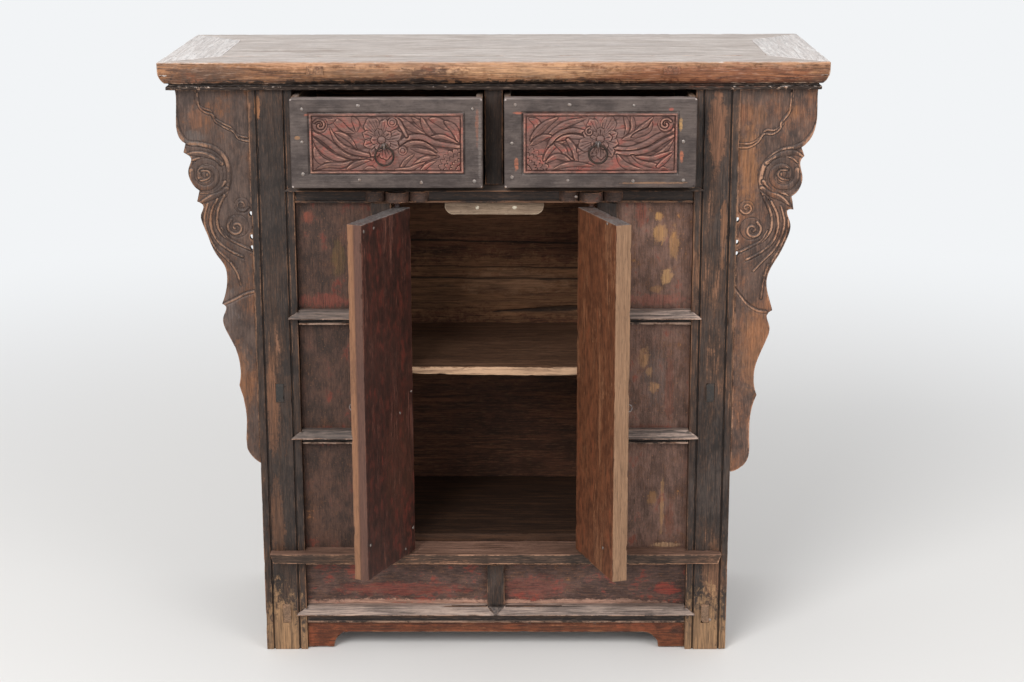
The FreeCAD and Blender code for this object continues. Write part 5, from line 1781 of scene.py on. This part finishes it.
SCROLLS = {
    Side.LEFT: Scroll(
        flower=(107, 50), corner=(228, 2), seeds=(16, 72), seeds_start=150, seeds_way=-1,
        rosettes=((123, 76), (138, 34)),
        strokes=(
            (5.5, 1.9, LEAF, ((34, 84), (45, 74), (55, 65), (68, 60))),
            (5.0, 1.7, LEAF, ((64, 84), (70, 74), (70, 62))), (5.0, 1.7, BLADE, ((20, 80), (30, 78), (40, 82))),
            (5.5, 2.1, LEAF, ((7, 40), (12, 24), (27, 15), (50, 18))),
            (5.0, 2.2, LEAF, ((5, 54), (17, 38), (37, 24), (66, 18))),
            (4.6, 2.4, STEM, ((3, 62), (22, 51), (45, 33), (68, 24), (92, 22))),
            (4.6, 2.6, BLADE, ((88, 27), (60, 34), (41, 48), (30, 70))),
            (3.6, 2.0, LEAF, ((38, 62), (51, 57), (62, 48), (70, 36))),
            (4.2, 2.0, LEAF, ((9, 6), (26, 12), (45, 12), (62, 16), (82, 20))),
            (4.0, 2.2, LEAF, ((54, 6), (66, 13), (79, 18), (90, 20))), (3.5, 1.5, BLADE, ((96, 6), (88, 8), (80, 6))),
            (5.0, 1.9, LEAF, ((129, 84), (140, 77), (153, 67), (174, 57))),
            (4.6, 2.0, LEAF, ((152, 84), (165, 74), (180, 62), (192, 53))),
            (4.6, 2.2, LEAF, ((166, 84), (173, 68), (182, 57), (194, 52))),
            (5.6, 2.0, LEAF, ((178, 82), (192, 77), (204, 68), (214, 63))),
            (5.6, 2.2, LEAF, ((200, 78), (213, 68), (219, 56), (221, 44))),
            (4.0, 2.4, BLADE, ((178, 52), (195, 55), (210, 50), (222, 44))),
            (4.4, 2.6, STEM, ((130, 42), (147, 53), (167, 54), (188, 45), (222, 40))),
            (4.0, 2.4, BLADE, ((136, 38), (150, 45), (168, 45), (184, 36), (192, 30))),
            (3.8, 2.1, LEAF, ((150, 38), (166, 34), (180, 31), (193, 24))),
            (3.6, 1.8, BLADE, ((136, 10), (143, 19), (155, 29))),
            (4.4, 2.2, LEAF, ((148, 5), (160, 15), (172, 22), (192, 25))),
            (3.6, 1.8, LEAF, ((126, 6), (146, 6), (158, 11), (172, 17))),
            (3.4, 1.9, BLADE, ((166, 5), (176, 13), (188, 19))),
            (3.0, 2.5, STEM, ((112, 79), (119, 82), (131, 79), (138, 68), (144, 56))),
        ),
        petals=(
            (122, 37, 33, 2.1, 8), (78, 31, 24, 2.0, 5), (18, 31, 26, 2.2, 4), (338, 27, 26, 2.1, 4),
            (160, 29, 22, 2.2, 4), (196, 27, 26, 2.3, 4), (238, 28, 26, 2.2, 4), (285, 30, 30, 2.1, 5),
            (110, 17, 34, 2.5, 3), (180, 16, 34, 2.5, 3), (250, 17, 34, 2.5, 3), (320, 15, 34, 2.4, 3),
            (40, 17, 34, 2.5, 3),
        ),
    ),
    Side.RIGHT: Scroll(
        flower=(114, 51), corner=(0, 2), seeds=(210, 73), seeds_start=30, seeds_way=1, curls=((98, 62),),
        strokes=(
            (5.4, 1.9, LEAF, ((8, 82), (19, 76), (21, 66), (14, 52))),
            (6.0, 2.2, LEAF, ((10, 48), (22, 62), (35, 74), (52, 84))),
            (5.4, 2.1, LEAF, ((34, 53), (50, 65), (68, 75), (93, 82))),
            (4.6, 2.0, LEAF, ((10, 42), (22, 50), (33, 55), (44, 55))),
            (4.2, 2.6, STEM, ((31, 22), (42, 47), (56, 59), (74, 64), (93, 61))),
            (4.0, 2.4, BLADE, ((90, 53), (68, 55), (52, 49), (38, 32))),
            (3.8, 2.1, LEAF, ((30, 18), (38, 33), (49, 43), (63, 48))),
            (4.4, 2.4, BLADE, ((66, 50), (75, 36), (78, 22), (81, 6))),
            (4.2, 2.0, LEAF, ((46, 46), (59, 36), (64, 26), (75, 20))),
            (4.4, 2.1, LEAF, ((33, 16), (48, 25), (62, 22), (76, 10))),
            (4.6, 1.8, LEAF, ((80, 32), (89, 42), (99, 37))),
            (4.0, 1.9, LEAF, ((44, 6), (66, 13), (86, 13), (106, 10))),
            (3.6, 1.9, BLADE, ((150, 84), (154, 68), (149, 54))),
            (3.6, 1.9, BLADE, ((160, 84), (162, 68), (155, 54))),
            (5.4, 2.2, LEAF, ((146, 50), (165, 57), (178, 69), (192, 84))),
            (4.4, 2.0, LEAF, ((160, 54), (176, 60), (186, 66), (190, 78))),
            (4.4, 2.6, STEM, ((136, 38), (157, 36), (180, 43), (200, 55), (222, 65))),
            (3.8, 2.4, STEM, ((136, 31), (162, 30), (188, 36), (206, 47), (222, 56))),
            (4.6, 2.1, LEAF, ((178, 20), (198, 25), (212, 37), (222, 50))),
            (4.8, 2.1, LEAF, ((139, 28), (147, 15), (160, 8), (178, 5))),
            (4.4, 2.2, LEAF, ((160, 27), (174, 18), (192, 12), (214, 7))),
            (4.0, 2.0, LEAF, ((166, 25), (189, 22), (206, 27), (222, 34))),
            (4.0, 1.9, BLADE, ((200, 10), (211, 20), (221, 30))),
        ),
        petals=(
            (62, 37, 30, 2.2, 6), (118, 33, 26, 2.1, 5), (200, 34, 30, 2.1, 6), (160, 27, 20, 2.2, 3),
            (240, 29, 24, 2.1, 4), (20, 26, 22, 2.2, 4), (345, 27, 24, 2.2, 4), (305, 31, 26, 2.1, 5),
            (272, 30, 22, 2.0, 4), (90, 17, 34, 2.5, 3), (150, 16, 34, 2.5, 3), (220, 16, 34, 2.4, 3),
            (300, 17, 34, 2.4, 3), (10, 17, 34, 2.5, 3),
        ),
    ),
}


@dataclass
class CarvedField:
    """The red peony scroll on a drawer: a flower in the middle, leaves and stems that sweep out to both ends."""

    side: Side
    front: DrawerFront
    cell: float = 0.6
    border: float = 3.6
    high: float = 3.2
    depth: float = 3.4

    def carve(self, relief: Relief) -> None:
        """Lays down the strokes, those behind first.

        Args:
            relief: The field, across from its left end and up from its foot.
        """
        scroll = SCROLLS[self.side]
        # Faint leaves behind the others, which sweep round the flower
        dx, dy = relief.across - scroll.flower[0], relief.upward - scroll.flower[1]
        turn = np.arctan2(dy, dx) * 13 + 5 * np.log(np.hypot(dx * 0.6, dy) + 12)
        relief.height += 0.8 * np.abs(np.sin(turn / 2 + 0.5 * self.side.value)) ** 0.7
        relief.fan(scroll.corner, 38, 2.0, 4, 26)
        for half, high, form, run in scroll.strokes:
            relief.stroke(Stroke(form, half, high, run))
        relief.disc(scroll.seeds, 11, 2.2)
        relief.curl(scroll.seeds, 10.5, 2.8, scroll.seeds_start, 1.0, scroll.seeds_way)
        for petal in scroll.petals:
            relief.petal(scroll.flower, *petal)
        for centre in scroll.rosettes:
            relief.rosette(centre, 6.5, 1.9)
        for centre in scroll.curls:
            relief.curl(centre, 7.5, 2.0, 90, 1.1, 1)
        relief.disc(scroll.flower, 5.5, 2.2, 8)

    def build(self, tag: int) -> None:
        """Carves the field as a closed slab let into the drawer's face.

        Args:
            tag: Seeds its wear and finish.
        """
        low, high, _ = self.front.field()
        wide, tall = (high.x - low.x) / MM, (high.z - low.z) / MM
        cell = self.cell * 1
        nx, nz = int(wide / cell), int(tall / cell)
        u, v = (a.ravel() for a in np.meshgrid(np.linspace(0, wide, nx + 1), np.linspace(0, tall, nz + 1)))
        relief = Relief((0, 0), (wide, tall), 0.5, 0.5, 0.45)
        self.carve(relief)
        carved, under, low_lying = (relief.at(seen, u, v) for seen in (relief.height, relief.lie(1.6), relief.lie(5.0)))
        inset = np.minimum(np.minimum(u, wide - u), np.minimum(v, tall - v))
        places = np.column_stack([u, v, np.zeros(len(u))])
        ragged = 0.5 * (cloud(places, 9, tag, 2) - 0.5)
        border = self.high * np.sqrt(np.clip(1 - ((inset - self.border / 2) / (self.border / 2 + 0.3)) ** 2, 0, 1))
        gap = (inset > self.border) & (inset < self.border + 1.3)
        carved = np.where(gap, np.minimum(carved, 0.35), carved)
        framed = inset <= self.border + ragged
        carved = np.where(framed, np.maximum(border, 0.4), carved)
        chisel = 0.2 * (cloud(places, 1.6, tag + 1, 2) - 0.5) + 0.3 * (cloud(places, 7, tag + 2, 2) - 0.5)
        height = np.clip(carved + chisel, 0.05, self.high)
        front = np.column_stack([low.x + u * MM, low.y + (self.high - height) * MM, low.z + v * MM])
        back_y = low.y + self.depth * MM
        ring = list(range(nx + 1)) + [(nx + 1) * (j + 1) + nx for j in range(nz)]
        ring += [(nx + 1) * nz + i for i in range(nx - 1, -1, -1)] + [(nx + 1) * j for j in range(nz - 1, 0, -1)]
        back = front[ring].copy()
        back[:, 1] = back_y
        count = len(front)
        faces = []
        for j in range(nz):
            for i in range(nx):
                a = j * (nx + 1) + i
                faces.append((a, a + 1, a + nx + 2, a + nx + 1))
        for k, a in enumerate(ring):
            after = (k + 1) % len(ring)
            faces.append((a, count + k, count + after, ring[after]))
        faces.append(tuple(count + k for k in reversed(range(len(ring)))))
        name = "drawer_%s_carving" % self.side.word
        made = bpy.data.meshes.new(name)
        made.from_pydata(np.vstack([front, back]).tolist(), [], faces)
        made.shade_smooth()
        made.set_sharp_from_angle(angle=math.radians(60))
        # Painted light on the relief: the border's crest and the ridges are lightened as rubbed wear and painted
        # highlight; grooves, the trench inside the border and the low zones are darkened with painted shade
        rim = smooth(0.6, 0.0, np.abs(inset - self.border / 2) / self.border) * 0.8
        ridge = np.where(framed, rim, smooth(0.1, 0.6, -under))
        groove = np.maximum(smooth(0.06, 0.5, under), 0.75 * smooth(0.05, 0.8, low_lying))
        groove = np.where(framed, 0, np.maximum(groove, gap * 0.8))
        none = np.zeros(len(back))
        spread(made, "worn", np.concatenate([ridge, none]))
        spread(made, "hollow", np.concatenate([groove, none]))
        made.materials.append(replace(CARVED_RED, name=name + "_red", seed=tag).material())
        show(made, name, "drawer_%s" % self.side.word)


@dataclass
class ForgedRing:
    """A ring pull: a forged round bar, not quite even, bent to a ring."""

    side: Side
    around: int = 88
    about: int = 14

    def build(self, tag: int) -> None:
        """Makes the ring in its solid's place.

        Args:
            tag: Seeds its hammer marks.
        """
        node = "drawer_%s_ring" % self.side.word
        low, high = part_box(node)
        middle = (low + high) / 2
        wire = (high.y - low.y) / 2
        radius = (high.z - low.z) / 2 - wire
        places, faces = [], []
        for i in range(self.around):
            a = 2 * math.pi * i / self.around
            swell = 0.95 - 0.03 * math.cos(a * 5 + tag) - 0.02 * math.sin(a * 9)
            for j in range(self.about):
                b = 2 * math.pi * j / self.about
                out = radius + wire * swell * math.cos(b)
                off = (out * math.sin(a), wire * swell * math.sin(b), out * math.cos(a))
                places.append([m + o for m, o in zip(middle, off)])
                k, m = (i + 1) % self.around, (j + 1) % self.about
                faces.append([p * self.about + q for p, q in ((i, j), (i, m), (k, m), (k, j))])
        made = bpy.data.meshes.new("ring_pull_%s" % self.side.word)
        made.from_pydata(places, [], faces)
        with opened(made) as work:
            bmesh.ops.recalc_face_normals(work, faces=work.faces)
        made.shade_smooth()
        skin = ForgedIron(name="ring_%s_iron" % self.side.word, dark="#332b27", rust="#3c2b21", seed=tag)
        made.materials.append(skin.material())
        show(made, "ring_pull_%s" % self.side.word, "ring_%s" % self.side.word, (node,))


@dataclass
class Drawers(Boards):
    """The two drawers: boxes, carved fronts, nails and rings."""

    first_tag: int = 110
    fronts: dict[Side, DrawerFront] = field(default_factory=dict)

    def boards(self) -> list[Board]:
        """Lists the boards."""
        made = []
        across = replace(BARE_ELM, grain=Axis.X)
        for s in Side:
            made += [Board("drawer_%s_side_%s" % (s.word, t.word), SIDE_ELM, cell=9 * MM) for t in Side]
            made += [Board("drawer_%s_%s" % (s.word, word), across, cell=9 * MM) for word in ("back", "bottom")]
        return made

    def nails(self, side: Side) -> list[tuple[Vector, Vector]]:
        """Where the nail heads of one drawer's face stand."""
        low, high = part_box("drawer_%s_front" % side.word)
        face = self.fronts[side].field()[2]
        if side is Side.LEFT:
            spots = ((19, 119), (102, 124), (271, 119), (18, 70), (18, 22), (102, 13), (194, 9), (273, 11))
        else:
            spots = ((17, 125), (97, 125), (192, 124), (12, 68), (12, 17), (95, 12), (192, 11), (267, 12), (266, 70))
        return [(Vector((low.x + x * MM, face, low.z + z * MM)), Vector((0, -1, 0))) for x, z in spots]

    def build(self) -> None:
        """Makes the boards, the carved fields, the nails and the rings."""
        super().build()
        for i, s in enumerate(Side):
            sizes = {"cell": 3 * MM, "ease": 2.6 * MM, "edge_loss": 1.2 * MM, "rub": 3.0 * MM}
            front = DrawerFront("drawer_%s_front" % s.word, DRAWER_LACQUER, **sizes)
            self.fronts[s] = front
            front.build(self.first_tag + 20 + i)
            CarvedField(s, front).build(self.first_tag + 24 + i)
            NailHeads("drawer_%s_nails" % s.word, "drawer_%s" % s.word, self.nails(s)).build(self.first_tag + 28 + i)
            ForgedRing(s).build(self.first_tag + 32 + i)


# ---- floor, light and camera


@dataclass
class Stage:
    """Plain pale floor, soft light and the camera."""

    floor_half: float = 14.0
    floor_colour: str = "#e6e4e1"
    wall_colour: str = "#f2f4f6"
    sky_colour: str = "#f5f6f8"
    sky_level: float = 0.75
    key_watts: float = 130.0
    fill_share: float = 0.35
    lamp_width: float = 2.4
    focal_px: float = 2000.0
    picture_width_px: float = 1024.0
    pitch: float = 0.258402
    yaw: float = -0.005559
    roll: float = -0.002136
    eye: tuple[float, float, float] = (0.043326, -2.988078 + FRONT, 1.303538)

    def camera(self) -> None:
        """Sets the camera at the photograph's place and angle."""
        data = bpy.data.cameras.new("camera")
        data.sensor_width = 36
        data.lens = self.focal_px / self.picture_width_px * data.sensor_width
        eye = link("camera", data)
        sine, cosine, level = math.sin(self.yaw), math.cos(self.yaw), math.cos(self.pitch)
        ahead = Vector((sine * level, cosine * level, -math.sin(self.pitch)))
        right = Vector((cosine, -sine, 0))
        up = right.cross(ahead)
        across = right * math.cos(self.roll) + up * math.sin(self.roll)
        upward = up * math.cos(self.roll) - right * math.sin(self.roll)
        turn = Matrix((across, upward, -ahead)).transposed().to_4x4()
        turn.translation = Vector(self.eye)
        eye.matrix_world = turn
        bpy.context.scene.camera = eye

    @staticmethod
    def shown(tree: NodeTree) -> NodeSocket:
        """One for the rays of the camera and those mirrored in metal, nought for the light on the piece."""
        rays = add(tree, "ShaderNodeLightPath").node.outputs
        seen = put(tree, MOST, rays["Is Camera Ray"], rays["Is Glossy Ray"])
        return put(tree, MOST, seen, rays["Is Transmission Ray"])

    def floor(self) -> None:
        """Lays the pale floor."""
        h = self.floor_half
        data = bpy.data.meshes.new("floor")
        data.from_pydata([(-h, -h, 0), (h, -h, 0), (h, h, 0), (-h, h, 0)], [], [(0, 1, 2, 3)])
        made = bpy.data.materials.new("floor")
        tree = empty_tree(made)
        lay = functools.partial(put, tree)
        skin = add(tree, "ShaderNodeBsdfPrincipled", {"Base Color": linear(self.floor_colour), "Roughness": 0.9})
        # Far from the piece the floor is plain white to the eye, as a studio sweep is
        far = lay(LENGTH, add(tree, "ShaderNodeTexCoord", out="Object"))
        share = lay(TIMES, lay(EASE, far, 0.8, 3.2), self.shown(tree))
        white = add(tree, "ShaderNodeEmission", {"Color": linear(self.wall_colour), "Strength": 1.0})
        lay(FINISH, add(tree, "ShaderNodeMixShader", {0: share, 1: skin, 2: white}))
        data.materials.append(made)
        floor = link("floor", data)

    def light(self) -> None:
        """Hangs the lamps and sets the sky."""
        sky = bpy.data.worlds.new("sky")
        bpy.context.scene.world = sky
        tree = empty_tree(sky)
        level = add(tree, "ShaderNodeMapRange", {0: self.shown(tree), 3: self.sky_level, 4: 1.0})
        back = add(tree, "ShaderNodeBackground", {"Color": linear(self.sky_colour), "Strength": level})
        add(tree, "ShaderNodeOutputWorld", {0: back})
        for name, place, watts in (
            ("key", (-1.6, -3.4, 3.0), self.key_watts),
            ("fill", (2.4, -3.0, 2.2), self.key_watts * self.fill_share),
        ):
            data = bpy.data.lights.new(name, "AREA")
            data.shape = "DISK"
            data.size = self.lamp_width
            data.energy = watts
            lamp = link(name, data)
            lamp.location = place
            lamp.rotation_euler = (Vector((0, 0, 0.5)) - Vector(place)).to_track_quat("-Z", "Y").to_euler()
        bpy.context.scene.view_settings.view_transform = "Standard"

    def build(self) -> None:
        """Makes the floor, the lights and the camera."""
        self.floor()
        self.light()
        self.camera()


@dataclass
class CaseNails:
    """Screw heads of the stop board, and the odd nails of the posts and the pivot block."""

    # Across from the middle, back from the posts' front and up from the floor, in millimetres
    screws: tuple[tuple[float, float, float], ...] = ((-26, 17.3, 720), (31, 17.3, 720))
    nails: tuple[tuple[float, float, float], ...] = ((343, 0.4, 51), (124, -16.6, 743))

    def build(self) -> None:
        """Sets both kinds."""
        pale = ForgedIron(name="screw", dark="#cfc3ae", rust="#a39684")
        for name, places, radius, iron in (
            ("stop_screws", self.screws, 3.4 * MM, pale),
            ("case_nails", self.nails, 2.4 * MM, ForgedIron(name="nail", dark="#978f8a", rust="#7c6658")),
        ):
            spots = [(Vector((x * MM, FRONT + y * MM, z * MM)), Vector((0, -1, 0))) for x, y, z in places]
            NailHeads(name, "case", spots, radius=radius, iron=iron).build(170)


def dress_hidden() -> None:
    """Gives every solid that still shows itself a finish of its own."""
    for tag, (name, node) in enumerate(sorted(frame["nodes"].items())):
        if node.hide_render:
            continue
        slot = SLOT_OF[name]
        if slot == "iron":
            skin = ForgedIron(name=name + "_iron", dark="#7a7270", rust="#6b5344", seed=tag).material()
        elif name.startswith("top_batten"):
            skin = replace(TOP_WOOD, name=name + "_wood", seed=tag, grain=Axis.Y, bare_from=0.55).material()
        else:
            skin = replace(BARE_ELM, name=name + "_elm", seed=tag, grain=Axis.Y).material()
        node.data.materials.clear()
        node.data.materials.append(skin)


def main() -> None:
    """Builds the cabinet's looks, one sub-assembly after another."""
    logging.basicConfig(level=logging.INFO, format="%(name)s: %(message)s")
    Stage().build()
    for part in (TopFrame(), FrontFrame(), SidesAndBack(), Inside(), Ears(), Doors(), Drawers()):
        part.build()
    CaseNails().build()
    dress_hidden()


if __name__ == "__main__":
    main()
